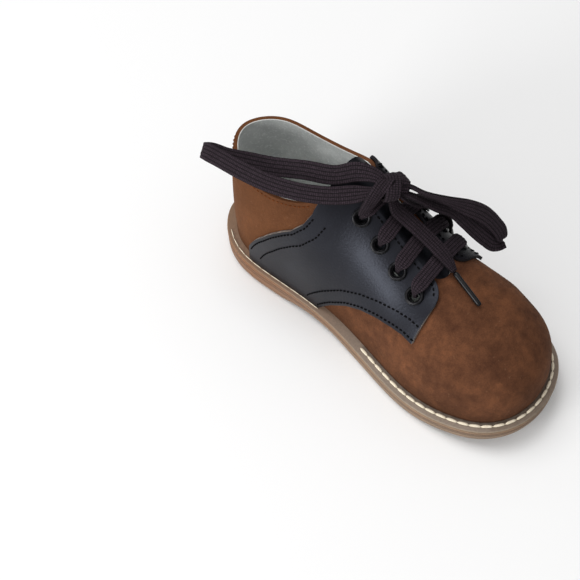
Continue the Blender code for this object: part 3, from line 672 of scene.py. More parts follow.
def wovenCotton():
    # flat tubular braid of dark cotton: slanting ribs both ways, matte, slightly hairy
    # the UV is in millimetres, so rib and pick are too
    material, tree, place = newMaterial("woven cotton lace")
    uv = addNode(tree, "TexCoord", output="UV")
    drift = addNode(
        tree, "TexNoise", {"Vector": place, "Scale": 1 / woven["drift"], "Detail": 3, "Roughness": 0.6}
    )
    drift = addNode(tree, "Math", {"operation": "MULTIPLY", 0: drift, 1: 2.4})
    across = addNode(tree, "SeparateXYZ", {"Vector": uv}, "X")
    along = addNode(tree, "SeparateXYZ", {"Vector": uv}, "Y")
    ribs = addNode(tree, "Math", {"operation": "MULTIPLY", 0: across, 1: 2 * math.pi / woven["rib"]})
    picks = addNode(
        tree, "Math", {"operation": "MULTIPLY_ADD", 0: along, 1: 2 * math.pi / woven["pick"], 2: drift}
    )
    lengthwise = addNode(tree, "Math", {"operation": "COSINE", 0: ribs})
    ways = []
    for turn in ("ADD", "SUBTRACT"):
        slant = addNode(tree, "Math", {"operation": turn, 0: ribs, 1: picks})
        ways.append(addNode(tree, "Math", {"operation": "SINE", 0: slant}))
    weave = addNode(tree, "Math", {"operation": "MULTIPLY", 0: ways[0], 1: ways[1]})
    hair = addNode(
        tree, "TexNoise", {"Vector": place, "Scale": 1 / woven["hair"], "Detail": 3, "Roughness": 0.7}
    )
    cloth = addNode(tree, "Math", {"operation": "MULTIPLY_ADD", 0: weave, 1: 0.22, 2: hair})
    height = addNode(tree, "Math", {"operation": "MULTIPLY_ADD", 0: lengthwise, 1: 0.16, 2: cloth})
    tone = addNode(tree, "MapRange", {"Value": height, "From Min": 0.05, "From Max": 0.95})
    stops = ((0.20, woven["dark"]), (0.55, woven["body"]), (0.92, woven["fleck"]))
    dress(tree, {
        "Base Color": addNode(tree, "ValToRGB", {"Fac": tone, "stops": stops}),
        "Normal": addNode(tree, "Bump", {"Height": height, "Distance": 0.35 * mm, "Strength": 0.9}),
        "Roughness": 0.92,
        "Specular IOR Level": 0.15,
        "Sheen Weight": 0.05,
        "Sheen Roughness": 0.6,
        "Sheen Tint": woven["sheen"],
    })
    return material


def paintedMetal():
    # stamped brass eyelet, painted black, with a slight polish on the rolled rim
    material, tree, place = newMaterial("black painted metal")
    noise = addNode(
        tree, "TexNoise", {"Vector": place, "Scale": 1 / (1.5 * mm), "Detail": 3, "Roughness": 0.6}
    )
    share = addNode(tree, "MapRange", {"Value": noise, "From Min": 0.4, "From Max": 0.7})
    rough = {"From Min": 0.3, "From Max": 0.7, "To Min": 0.24, "To Max": 0.4}
    dress(tree, {
        "Base Color": addNode(tree, "Mix", {**mixing, 0: share, 6: "#17171A", 7: "#2B2A2C"}, 2),
        "Roughness": addNode(tree, "MapRange", {"Value": noise, **rough}),
        "Metallic": 0.75,
    })
    return material


def threadOf(name, colour, light):
    # twisted polyester thread: matte, with the fine unevenness of its plies
    material, tree, place = newMaterial(name)
    noise = addNode(
        tree, "TexNoise", {"Vector": place, "Scale": 1 / (0.35 * mm), "Detail": 2, "Roughness": 0.5}
    )
    share = addNode(tree, "MapRange", {"Value": noise, "From Min": 0.35, "From Max": 0.65})
    dress(tree, {
        "Base Color": addNode(tree, "Mix", {**mixing, 0: share, 6: colour, 7: light}, 2),
        "Normal": addNode(tree, "Bump", {"Height": noise, "Distance": 0.08 * mm, "Strength": 0.5}),
        "Roughness": 0.9,
        "Specular IOR Level": 0.1,
    })
    return material


suedeFinish = brushedSuede()
saddleFinish = smoothLeather()
edgeFinish = rawEdge()
liningFinish = liningLeather()
liningEdgeFinish = plainMaterial(
    "lining edge", "#C9CCC8", "#E4E5E0", 1.5 * mm, 0.05 * mm, {"Roughness": 0.7}
)
weltFinish = weltRubber("welt rubber", weltBandsAndPaintedShade)
soleFinish = treadRubber()
laceFinish = wovenCotton()
eyeletFinish = paintedMetal()
darkThread = threadOf("black thread", "#040405", "#0A0A0B")
brownThread = threadOf("brown thread", "#5A2E14", "#7A4420")
creamThread = threadOf("cream welt thread", "#D9CBB2", "#F0E6D2")
insoleFinish = plainMaterial(
    "insole leather", "#A9ACA9", "#C4C7C3", 6 * mm, 0.1 * mm, {"Roughness": 0.75}
)
tipFinish = plainMaterial(
    "crimped lace tip",
    "#070709",
    "#0E0D10",
    2 * mm,
    0.05 * mm,
    {"Roughness": 0.32, "Specular IOR Level": 0.22},
)
print("materials made")


# Meshes

def placeUv(mesh, uv):
    # each corner takes the UV of its point
    layer = mesh.uv_layers.new(name="surface")
    corner = np.empty(len(mesh.loops), dtype=np.int32)
    mesh.loops.foreach_get("vertex_index", corner)
    layer.data.foreach_set("uv", uv.reshape(-1, 2)[corner].ravel().astype(np.float32))


def plainObject(name, points, faces):
    # an object of those points and faces, in the scene
    mesh = bpy.data.meshes.new(name)
    mesh.from_pydata(points.tolist(), [], faces if isinstance(faces, list) else faces.tolist())
    item = bpy.data.objects.new(name, mesh)
    bpy.context.collection.objects.link(item)
    return item


def smooth(item):
    # every face shaded smooth
    item.data.polygons.foreach_set("use_smooth", np.ones(len(item.data.polygons), dtype=bool))


def meshOf(name, points, faces, materials, uv=None):
    # a smooth piece of the shoe, with its UV and materials
    item = plainObject(name, points, faces)
    smooth(item)
    if uv is not None:
        placeUv(item.data, uv)
    for material in materials:
        item.data.materials.append(material)
    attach(item, "root")
    return item


def gridFaces(rows, columns, wrapRows=False, wrapColumns=False):
    # four corners of every cell, with the last row or column joined to the first
    index = np.arange(rows * columns).reshape(rows, columns)
    if wrapRows:
        index = np.vstack([index, index[:1]])
    if wrapColumns:
        index = np.hstack([index, index[:, :1]])
    corners = [index[:-1, :-1], index[1:, :-1], index[1:, 1:], index[:-1, 1:]]
    return np.stack(corners, axis=-1).reshape(-1, 4)


def facingOut(points, faces, middle):
    # the faces' turn for which their areas look away from the middle on the whole
    a, b, d = points[faces[:, 0]], points[faces[:, 1]], points[faces[:, 3]]
    look = np.sum(np.cross(b - a, d - a) * (a - middle))
    return faces if look > 0 else faces[:, ::-1]


footMiddle = np.array([0.0, 0.0, last["instep"] / 2])


def mend(item, merge=None, close=False, turn=False):
    # doubles merged, a face over each open loop, every face turned outward, as asked
    work = bmesh.new()
    work.from_mesh(item.data)
    if merge:
        bmesh.ops.remove_doubles(work, verts=work.verts, dist=merge)
        bmesh.ops.dissolve_degenerate(work, edges=work.edges, dist=1e-7)
    if close:
        bmesh.ops.holes_fill(work, edges=[e for e in work.edges if e.is_boundary], sides=0)
    if turn:
        bmesh.ops.recalc_face_normals(work, faces=work.faces)
    work.to_mesh(item.data)
    work.free()


def sheetOf(name, grid, materials, wrapRows=False):
    # a grid of points as one sheet that faces away from the foot
    points = grid.reshape(-1, 3)
    faces = gridFaces(grid.shape[0], grid.shape[1], wrapRows)
    item = meshOf(name, points, facingOut(points, faces, footMiddle), materials)
    mend(item, merge=2e-6)
    return item


def finishMesh(item):
    # the modifiers' result becomes the mesh
    graph = bpy.context.evaluated_depsgraph_get()
    made = bpy.data.meshes.new_from_object(item.evaluated_get(graph))
    old = item.data
    item.modifiers.clear()
    item.data = made
    bpy.data.meshes.remove(old)
    smooth(item)


def thicken(item, thickness, outward, bevel, rimMaterial=0, backMaterial=0):
    # a wall of that thickness, its rim rounded by a bevel, made part of the mesh
    solid = item.modifiers.new("wall", "SOLIDIFY")
    solid.thickness = thickness
    solid.offset = 1.0 if outward else -1.0
    solid.use_even_offset = True
    solid.use_quality_normals = True
    solid.material_offset = backMaterial
    solid.material_offset_rim = rimMaterial
    rounded = item.modifiers.new("rounded rim", "BEVEL")
    rounded.width = bevel
    rounded.segments = 3
    rounded.limit_method = "ANGLE"
    rounded.angle_limit = math.radians(50)
    rounded.harden_normals = False
    finishMesh(item)


# Upper: outer suede shell and its lining

shell = {
    "sideColumns": 150,
    "heelColumns": 64,
    "toeColumns": 84,
    "rows": 56,
    "suedeWall": 1.45 * mm,
    "suedeRim": 0.5 * mm,
    "liningWall": 0.28 * mm,
    "liningRim": 0.12 * mm,
    "liningGap": 0.04 * mm,
    "liningRise": 0.001,
}


def shellColumns():
    # medial side from the toe back, round the heel, lateral side forward, round the toe
    stations = np.linspace(
        last["heelCentre"] * last["length"], last["toeCentre"] * last["length"], shell["sideColumns"]
    )
    stations = np.sort(np.append(stations, throat["end"] * last["length"]))
    medial = sideColumn(-1, stations[::-1])
    lateral = sideColumn(1, stations)
    heel = fanColumn(-1, np.linspace(-90.0, 90.0, shell["heelColumns"] + 1)[1:-1])
    toe = fanColumn(1, np.linspace(90.0, -90.0, shell["toeColumns"] + 1)[1:-1])
    parts = (medial, heel, lateral, toe)
    return np.vstack([p[0] for p in parts]), np.vstack([p[1] for p in parts])


def shellGrid(rise):
    # columns round the foot, rows from the feather line to the collar's or throat's edge
    foot, spine = shellColumns()
    edge = edgeGirth(foot, spine, throatWidth(spine[:, 1]))
    closed = spine[:, 1] >= throat["end"] * last["length"] - 1e-9
    edge = np.where(closed, 1.0, edge + rise)
    rows = np.linspace(0.0, 1.0, shell["rows"] + 1) ** 1.1
    girth = edge[:, None] * rows[None, :]
    points = toWorld(lastPoint(foot[:, None, :], spine[:, None, :], girth))
    around = np.roll(points, -1, axis=0) - np.roll(points, 1, axis=0)
    upward = np.gradient(points, axis=1)
    normal = unit(np.cross(around, upward))
    flip = np.sum(normal * (points - footMiddle)) < 0
    normal = -normal if flip else normal
    # at the closed ridge both sides share one normal, that of the row below
    normal[closed, -1] = normal[closed, -2]
    ridge = normal[closed, -1]
    ridge[:, 0] *= 0.2
    normal[closed, -1] = unit(ridge)
    return points, normal, foot, spine, girth


# place on the last as station and girth, half widths there, and depth
vampCreases = (
    (0.765, 0.62, 0.020, 0.20, 0.35),
    (0.735, 0.30, 0.018, 0.16, 0.30),
    (0.860, 0.50, 0.060, 0.22, 0.25),
)


def softRelief(station, girth, side):
    # shallow troughs, each a bell along and round the foot, plus slow waves of the hide
    relief = 0.16 * np.sin(station * 47 + girth * 5 + side) * np.sin(girth * 9 + station * 13)
    for at, height, wide, tall, depth in vampCreases:
        bell = np.exp(-(((station - at) / wide) ** 2) - ((girth - height) / tall) ** 2)
        relief = relief - depth * bell
    return relief * mm * np.sin(np.clip(girth, 0, 1) * math.pi) ** 0.5


def buildUpper():
    # the last's surface, relieved at the vamp, with the suede's wall inward and the lining inside it
    points, normal, _, _, girth = shellGrid(0.0)
    station = (centreLine[1] - points[..., 1]) / last["length"]
    side = np.sign(points[..., 0])
    inVamp = np.clip((station - 0.66) / 0.06, 0.0, 1.0)
    lift = softRelief(station, girth, side) * inVamp
    # the nap rounds in to the feather line
    lift = lift - 0.5 * mm * np.exp(-((girth / 0.02) ** 2))
    outer = sheetOf("upperSuede", points + normal * lift[..., None], [suedeFinish, edgeFinish], True)
    thicken(outer, shell["suedeWall"], False, shell["suedeRim"])
    points, normal, _, _, _ = shellGrid(shell["liningRise"])
    inner = points - normal * (shell["suedeWall"] + shell["liningGap"])
    lining = sheetOf("upperLining", inner, [liningFinish, liningEdgeFinish], True)
    thicken(lining, shell["liningWall"], False, shell["liningRim"], rimMaterial=1)
    mend(lining, close=True)
    for item in (outer, lining):
        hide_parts("upper")
    return outer, lining


# Sole

def ringAt(offset, share, heights):
    # closed ring at an offset from the feather line, heel to toe and back
    sides = []
    for side in (-1, 1):
        half = halfOutline(offset, side)
        along = half[0, 1] + (half[-1, 1] - half[0, 1]) * share
        across = np.interp(along, half[:, 1], half[:, 0])
        sides.append(np.column_stack([across, along, heights(along)]))
    medial, lateral = sides
    return np.vstack([medial, lateral[1:-1][::-1]])


def plateOf(name, profile, bottom, top, materials, count):
    # a side from the profile's offsets and levels, closed by strips across, heel to toe
    # the UV holds the way round in metres and the level of the side
    share = (1 - np.cos(np.linspace(0.0, math.pi, count))) / 2
    rings = []
    for offset, level in profile:
        rings.append(
            ringAt(offset, share, lambda along: bottom(along) + (top(along) - bottom(along)) * level)
        )
    rings = np.stack(rings)
    size = rings.shape[1]
    faces = gridFaces(len(profile), size, wrapColumns=True)
    caps = []
    for base in (0, (len(profile) - 1) * size):
        # strips across, with a triangle at the heel and one at the toe
        i = np.arange(1, count - 2)
        strip = base + np.column_stack([i, i + 1, size - i - 1, size - i])
        heel = base + np.array([0, 1, size - 1])
        toe = base + np.array([count - 2, count - 1, count])
        caps += strip.tolist() + [heel.tolist(), toe.tolist()]
    points = toWorld(rings).reshape(-1, 3)
    step = np.linalg.norm(np.diff(rings[0], axis=0), axis=1)
    reach = np.concatenate([[0.0], np.cumsum(step)])
    level = np.array([row[1] for row in profile])
    uv = np.stack(np.broadcast_arrays(reach[None, :], level[:, None]), axis=-1)
    item = meshOf(name, points, faces.tolist() + caps, materials, uv)
    mend(item, merge=1e-6, turn=True)
    # sharp edges where the side meets a cap
    item.data.set_sharp_from_angle(angle=math.radians(40))
    return item


welt = {
    "ledge": last["weltLedge"],
    "thickness": 2.8 * mm,
    "roundLow": 0.5 * mm,
    "roundHigh": 0.5 * mm,
    "grooves": (0.30, 0.66),
    "grooveDepth": 0.42 * mm,
    "grooveWide": 0.07,
}
tread = {
    "ledge": 3.6 * mm,
    "roundLow": 1.5 * mm,
    "roundHigh": 0.3 * mm,
    "grooves": (0.80,),
    "grooveDepth": 0.3 * mm,
    "grooveWide": 0.05,
}
insole = {"inset": 0.4 * mm, "chamferLow": 0.3 * mm, "chamferHigh": 0.4 * mm, "thickness": 2.0 * mm}


def weltTop(along):
    # the ledge, a touching gap under the upper
    return featherHeight(along) - last["gap"]


def weltBottom(along):
    # the band's underside
    return weltTop(along) - welt["thickness"]


def outsoleTop(along):
    # the outsole's top, a touching gap under the band
    return weltBottom(along) - last["gap"]


def sideProfile(rule):
    # offset out less its rounded corners and less a bell at each groove
    level = np.linspace(0.0, 1.0, 34)
    offset = rule["ledge"] - rule["roundLow"] * (1 - level) ** 8 - rule["roundHigh"] * level**8
    for groove in rule["grooves"]:
        offset = offset - rule["grooveDepth"] * np.exp(-(((level - groove) / rule["grooveWide"]) ** 2))
    return list(zip(offset, level))


def insoleTop(along):
    # the insole's upper face
    return featherHeight(along) + insole["thickness"]


def buildSole():
    # band, outsole and insole, each a plate of its own profile between two heights
    inner = -(last["wall"] + insole["inset"])
    edge = [
        (inner - insole["chamferLow"], 0.0),
        (inner, 0.3),
        (inner, 0.7),
        (inner - insole["chamferHigh"], 1.0),
    ]
    for name, profile, bottom, top, finish, count, node, slot in (
        ("weltBand", sideProfile(welt), weltBottom, weltTop, weltFinish, 220, "midsole", "welt"),
        ("outsoleRubber", sideProfile(tread), treadHeight, outsoleTop, soleFinish, 220, "outsole", "sole"),
        ("insoleBoard", edge, featherHeight, insoleTop, insoleFinish, 160, "insole", "insole"),
    ):
        item = plateOf(name, profile, bottom, top, [finish], count)
        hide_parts(node)


# Saddles

saddle = {
    "end": 0.706,
    "lateralBack": 0.020,
    "corner": 6.5 * mm,
    "gap": 0.45 * mm,
    "wall": 1.3 * mm,
    "rim": 0.22 * mm,
    "columns": 150,
    "rows": 60,
}


def saddlePlace(side, share):
    # length from the heel; the lateral flap lies a little further back
    if side < 0:
        return share * last["length"]
    blend = np.clip((share - 0.45) / (saddle["end"] - 0.45), 0.0, 1.0)
    return (share - saddle["lateralBack"] * blend) * last["length"]


def saddleEdges(side, share):
    # lower and upper edge as girth, the upper one rounded at the flap's corner
    table = np.array(saddleRows)
    low = np.interp(share, table[:, 0], table[:, 1])
    high = np.interp(share, table[:, 0], table[:, 2])
    foot, spine = sideColumn(side, saddlePlace(side, share))
    into = np.clip(1 - (saddle["end"] - share) * last["length"] / saddle["corner"], 0.0, 1.0)
    width = throat["halfWidth"] + saddle["corner"] * (1 - np.sqrt(1 - (into * 0.995) ** 2))
    return low, np.minimum(high, edgeGirth(foot, spine, width))


def saddleGrid(side, lift):
    # rows from the lower to the upper edge at each share of the length
    table = np.array(saddleRows)
    share = np.unique(
        np.concatenate([np.linspace(table[0, 0], table[-1, 0], saddle["columns"]), table[:, 0]])
    )
    low, high = saddleEdges(side, share)
    rows = np.linspace(0.0, 1.0, saddle["rows"] + 1)
    girth = low[:, None] + (high - low)[:, None] * rows[None, :]
    points, _ = sideSurface(side, saddlePlace(side, share)[:, None], girth, lift)
    return toWorld(points)


def buildSaddle(side, name, node):
    # the overlay's sheet with its wall outward and the cut edge round it
    item = sheetOf(name, saddleGrid(side, saddle["gap"]), [saddleFinish, edgeFinish])
    thicken(item, saddle["wall"], True, saddle["rim"], rimMaterial=1)
    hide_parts(node)
    return item


# Tongue

tongue = {
    "top": 0.340,
    "end": 0.712,
    "wall": 1.6 * mm,
    "gap": 0.5 * mm,
    "rim": 0.4 * mm,
    "halfWidths": (14.0 * mm, 16.5 * mm, 12.5 * mm),
}


def tongueHalfWidth(share):
    # widths at the top, a third down and the end, drawn in by a round top
    roundTop = np.sqrt(1 - (1 - np.clip(share / 0.09, 0.0, 1.0)) ** 2)
    wide = np.interp(share, [0.0, 0.35, 1.0], tongue["halfWidths"])
    return (0.55 + 0.45 * roundTop) * wide


def tongueGrid(share, across, lift):
    # rows down the foot, columns by distance from the ridge as a share of the half width
    low = tongue["top"] * last["length"]
    along = low + (tongue["end"] * last["length"] - low) * share
    columns = []
    for part in across:
        side = 1 if part > 0 else -1
        foot, spine = sideColumn(side, along)
        girth = girthAtWidth(foot, spine, np.abs(part) * tongueHalfWidth(share))
        columns.append(sideSurface(side, along, girth, lift)[0])
    return toWorld(np.stack(columns, axis=1))


def buildTongue():
    # a sheet under the throat, closer rows toward its round top, lined on its back
    share = (1 - np.cos(np.linspace(0.0, math.pi / 2, 70))) ** 1.2
    grid = tongueGrid(share, np.linspace(-1.0, 1.0, 60), -(last["wall"] + tongue["gap"]))
    item = sheetOf("tongueLeather", grid, [saddleFinish, saddleFinish, liningFinish])
    thicken(item, tongue["wall"], False, tongue["rim"], rimMaterial=1, backMaterial=2)
    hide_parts("tongue")


# Eyelets

sides = {-1: "Medial", 1: "Lateral"}

eyelet = {
    "outer": 3.7 * mm,
    "bore": 2.1 * mm,
    "barrel": 2.6 * mm,
    "count": 4,
    "first": 0.439,
    "pitch": 0.0703,
    "topSpread": 0.0113,
    "endSpread": 0.0142,
    "holeClearance": 0.1 * mm,
    "rimInset": 0.25 * mm,
    "turns": 64,
}


def eyeletAlong(side, number):
    # a pitch apart; the lateral ones are set back, more so toward the toe
    along = (eyelet["first"] + eyelet["pitch"] * number) * last["length"]
    if side > 0:
        along -= saddle["lateralBack"] * last["length"] * 0.8 * number / (eyelet["count"] - 1)
    return along


def eyeletSpread(number):
    # distance from the ridge, evenly from the top pair to the last
    share = number / (eyelet["count"] - 1)
    return eyelet["topSpread"] + (eyelet["endSpread"] - eyelet["topSpread"]) * share


def eyeletSeat(side, number):
    # the point on the saddle's face and its normal there
    along = np.array([eyeletAlong(side, number)])
    foot, spine = sideColumn(side, along)
    girth = girthAtWidth(foot, spine, np.array([eyeletSpread(number)]))
    point, normal = sideSurface(side, along, girth, saddle["gap"] + saddle["wall"])
    return toWorld(point)[0], unit(worldNormal(normal))[0]


def frameAbout(axis):
    # two directions square to the axis and to each other
    first = unit(np.array([0.0, 1.0, 0.0]) - axis * axis[1])
    return first, np.cross(axis, first)


def circleAbout(axis, turns, flat=1.0):
    # directions evenly round an axis, squeezed one way by the flat
    first, second = frameAbout(axis)
    angle = np.linspace(0, 2 * math.pi, turns, endpoint=False)
    return np.cos(angle)[:, None] * first + np.sin(angle)[:, None] * second * flat


def rolledRing():
    # the rim's round section joined to the barrel, as radius and height pairs
    rim = np.linspace(math.pi * 1.05, -math.pi * 0.05, 14)
    inner = eyelet["bore"] + eyelet["rimInset"]
    middle = (eyelet["outer"] + inner) / 2
    wide = (eyelet["outer"] - inner) / 2
    roll = np.column_stack([middle + np.cos(rim) * wide, 0.42 * mm + np.sin(rim) * 0.75 * mm])
    deep = -(last["wall"] + saddle["gap"] + saddle["wall"])
    barrel = np.array(
        [
            (eyelet["barrel"], 0.30 * mm),
            (eyelet["barrel"], deep),
            (eyelet["bore"], deep),
            (eyelet["bore"], 0.1 * mm),
        ]
    )
    return np.vstack([roll, barrel])


def latheOf(name, centre, axis, profile, turns, material):
    # the closed profile of radius and height turned about the axis
    out = circleAbout(axis, turns)
    points = centre + out[:, None, :] * profile[None, :, :1] + axis * profile[None, :, 1:]
    faces = gridFaces(turns, len(profile), wrapRows=True, wrapColumns=True)
    item = meshOf(name, points.reshape(-1, 3), faces, [material])
    mend(item, turn=True)
    item.data.set_sharp_from_angle(angle=math.radians(50))
    return item


def punchHole(items, centre, axis):
    # a round cutter through saddle, suede and lining
    turns = 28
    out = circleAbout(axis, turns) * (eyelet["barrel"] + eyelet["holeClearance"])
    points = np.concatenate([centre + out + axis * height for height in (-6 * mm, 4 * mm)])
    wall = gridFaces(2, turns, wrapColumns=True).tolist()
    lids = np.arange(2 * turns).reshape(2, turns).tolist()
    cutter = plainObject("holeCutter", points, wall + lids)
    mend(cutter, turn=True)
    for item in items:
        cut = item.modifiers.new("hole", "BOOLEAN")
        cut.operation = "DIFFERENCE"
        cut.solver = "EXACT"
        cut.object = cutter
        finishMesh(item)
    bpy.data.objects.remove(cutter, do_unlink=True)


def buildEyelets(saddles, shells):
    # a hole and a rolled ring at every seat
    for side, word in sides.items():
        for number in range(eyelet["count"]):
            centre, axis = eyeletSeat(side, number)
            punchHole([saddles[side], *shells], centre, axis)
            name = f"eyelet{word}{number + 1}"
            item = latheOf(name, centre, axis, rolledRing(), eyelet["turns"], eyeletFinish)
            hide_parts(f"eyelet_{word.lower()}_{number + 1}")


# Stitches

def reachOf(path):
    # the way along the path at each of its points
    return np.concatenate([[0.0], np.cumsum(np.linalg.norm(np.diff(path, axis=0), axis=1))])


def readAt(table, reach, at):
    # each column of the table read at those lengths along the path
    return np.column_stack([np.interp(at, reach, column) for column in table.T])


def stitchRow(name, path, normal, rule, material):
    # capsules along the path: round section, tapered ends, each end sunk in its hole
    pitch, radius = rule["pitch"], rule["radius"]
    reach = reachOf(path)
    at = np.arange(pitch / 2, reach[-1] - pitch / 4, pitch)
    centre = readAt(path, reach, at)
    run = unit(readAt(path, reach, at + pitch * 0.2) - readAt(path, reach, at - pitch * 0.2))
    up = readAt(normal, reach, at)
    up = unit(up - run * np.sum(up * run, axis=1)[:, None])
    across = np.cross(run, up)
    share = np.linspace(-1, 1, 7)
    angle = np.linspace(0, 2 * math.pi, 8, endpoint=False)
    thick = radius * (1 - np.abs(share) ** 4 * 0.75)
    drop = radius * (0.6 - rule["sink"] * 3 * np.abs(share) ** 3)
    ring = (
        across[:, None, None, :] * (np.cos(angle) * thick[:, None])[None, :, :, None]
        + up[:, None, None, :] * (np.sin(angle) * thick[:, None] * 0.9)[None, :, :, None]
        + run[:, None, None, :] * (share * rule["length"] / 2)[None, :, None, None]
        + up[:, None, None, :] * drop[None, :, None, None]
    )
    points = (centre[:, None, None, :] + ring).reshape(-1, 3)
    one = gridFaces(7, 8, wrapColumns=True)
    end = np.array([[0, 1, 2, 3], [0, 3, 4, 7], [4, 5, 6, 7]])
    faces = np.vstack([one, end, end + 6 * 8])
    faces = (faces[None] + (np.arange(len(at)) * 7 * 8)[:, None, None]).reshape(-1, 4)
    item = meshOf(name, points, faces, [material])
    mend(item, turn=True)
    return item


def inwardCurve(side, share, girth, distance, turn, steps=8):
    # the edge curve moved over the surface by a distance, square to itself
    along = saddlePlace(side, share)
    girth = np.array(girth, float)
    fine = 1e-4
    for _ in range(steps):
        here, normal = sideSurface(side, along, girth)
        byAlong = (sideSurface(side, along + fine, girth)[0] - here) / fine
        byGirth = (sideSurface(side, along, girth + fine * 10)[0] - here) / (fine * 10)
        run = unit(np.gradient(here, axis=0))
        inward = unit(np.cross(normal, run)) * turn * distance / steps
        aa = np.sum(byAlong**2, axis=1)
        gg = np.sum(byGirth**2, axis=1)
        ag = np.sum(byAlong * byGirth, axis=1)
        pa = np.sum(byAlong * inward, axis=1)
        pg = np.sum(byGirth * inward, axis=1)
        area = np.maximum(aa * gg - ag**2, 1e-12)
        along = along + (pa * gg - pg * ag) / area
        girth = np.clip(girth + (pg * aa - pa * ag) / area, 0.0, 0.999)
    return along, girth


def overSaddle(side, along, girth):
    # points on the saddle's outer face and their normals
    point, normal = sideSurface(side, along, girth, saddle["gap"] + saddle["wall"])
    return toWorld(point), worldNormal(normal)


stitching = {
    "pitch": 2.0 * mm,
    "length": 1.5 * mm,
    "radius": 0.34 * mm,
    "sink": 0.35,
    "edgeRow": 1.5 * mm,
    "innerRow": 7.0 * mm,
    "throatRow": 1.7 * mm,
}


def saddleCurves(side):
    # edge curves in station share and girth: rear, low, throat and the flap's end
    table = np.array(saddleRows)
    rear = table[table[:, 0] <= 0.335]
    rearShare = np.linspace(rear[0, 0], rear[-1, 0], 80)
    rearGirth = np.interp(rearShare, rear[:, 0], rear[:, 2])
    lowShare = np.linspace(0.392, saddle["end"], 100)
    lowGirth = np.interp(lowShare, table[:, 0], table[:, 1])
    edgeShare = np.linspace(0.372, saddle["end"] - 0.002, 160)
    edge = saddleEdges(side, edgeShare)[1]
    return (rearShare, rearGirth), (lowShare, lowGirth), (edgeShare, edge)


def buildSaddleStitches(side, word):
    # two rows along the rear edge, two along the lower one and one round the flap
    rear, low, edge = saddleCurves(side)
    for label, (share, girth), turn, distance in (
        ("RearOuter", rear, -1, stitching["edgeRow"]),
        ("RearInner", rear, -1, stitching["innerRow"]),
        ("LowOuter", low, 1, stitching["edgeRow"]),
        ("LowInner", low, 1, stitching["innerRow"]),
        ("Throat", edge, -1, stitching["throatRow"]),
    ):
        along, at = inwardCurve(side, share, girth, distance, turn * side)
        keep = (at > 0.006) & (at < 0.995)
        path, normal = overSaddle(side, along[keep], at[keep])
        stitchRow(f"stitches{word}{label}", path, normal, stitching, darkThread)


weltStitch = {
    "pitch": 4.6 * mm,
    "length": 4.7 * mm,
    "radius": 0.62 * mm,
    "sink": 0.12,
    "offset": 1.3 * mm,
    "medialFrom": 0.55,
    "lateralFrom": 0.10,
}
weltThread = {
    "pitch": 5.0 * mm,
    "length": 5.4 * mm,
    "radius": 0.2 * mm,
    "sink": 0.12,
    "offset": 2.05 * mm,
    "from": 0.04,
    "to": 0.40,
}
collarStitch = {
    "pitch": 1.9 * mm,
    "length": 1.35 * mm,
    "radius": 0.24 * mm,
    "sink": 0.35,
    "below": 1.8 * mm,
    "footTo": 0.325,
    "spineTo": 0.34,
}


def weltPath(offset, low, high, side):
    # stations from low to high on one side of the feather line, at the offset
    half = halfOutline(offset, side)
    along = np.linspace(low, high, 200) * last["length"]
    along = np.clip(along, half[0, 1], half[-1, 1])
    across = np.interp(along, half[:, 1], half[:, 0])
    return np.column_stack([across, along, weltTop(along)])


def sewWelt(name, ring, rule):
    # a row on the ledge, lifted by a share of its thread
    path = toWorld(ring)
    up = np.broadcast_to(np.array([0.0, 0.0, 1.0]), path.shape)
    lifted = path + up * rule["radius"] * 0.3
    stitchRow(name, lifted, up, rule, creamThread)


def buildWeltStitches():
    # medial ball, round the toe and back along the lateral side, as one line
    ring = ringAt(weltStitch["offset"], (1 - np.cos(np.linspace(0.0, math.pi, 400))) / 2, weltTop)
    medial = ring[:400]
    lateral = ring[400:]
    fore = medial[medial[:, 1] > weltStitch["medialFrom"] * last["length"]]
    outer = lateral[lateral[:, 1] > weltStitch["lateralFrom"] * last["length"]]
    sewWelt("weltStitches", np.vstack([fore, outer]), weltStitch)
    path = weltPath(weltThread["offset"], weltThread["from"], weltThread["to"], -1)
    sewWelt("weltThreadMedial", path, weltThread)


def buildToplineStitches():
    # one brown row a little below the collar's edge, on the quarters behind the saddle
    points, normal, foot, spine, _ = shellGrid(0.0)
    footBehind = foot[:, 1] < collarStitch["footTo"] * last["length"]
    spineBehind = spine[:, 1] < collarStitch["spineTo"] * last["length"]
    inRear = footBehind & spineBehind
    below = np.linalg.norm(points - points[:, -1:], axis=2)
    row = np.argmin(np.abs(below - collarStitch["below"]), axis=1)
    index = np.arange(len(foot))
    path = points[index, row][inRear]
    stitchRow("stitchesTopline", path, normal[index, row][inRear], collarStitch, brownThread)


# Lace

lace = {
    "width": 6.2 * mm,
    "thickness": 1.3 * mm,
    "aglet": 1.1 * mm,
    "knotLift": 0.0022,
    "knotForward": 0.0022,
    "knotCentre": (0.0035, 0.0035, 0.0737),
    "knotAxis": (0.80, -0.60, 0.0),
    "across": (0.81, 0.27, 0.52),
}

# distance from the eyelet in its radii, rise in metres, share of the lace's width
barRows = (
    (0.00, -0.0012, 0.28),
    (0.22, 0.0012, 0.30),
    (0.46, 0.0024, 0.48),
    (0.74, 0.0029, 0.80),
    (1.20, 0.0029, 1.00),
    (2.00, 0.0022, 1.00),
    (2.80, 0.0014, 1.00),
    (3.40, 0.0009, 1.00),
)

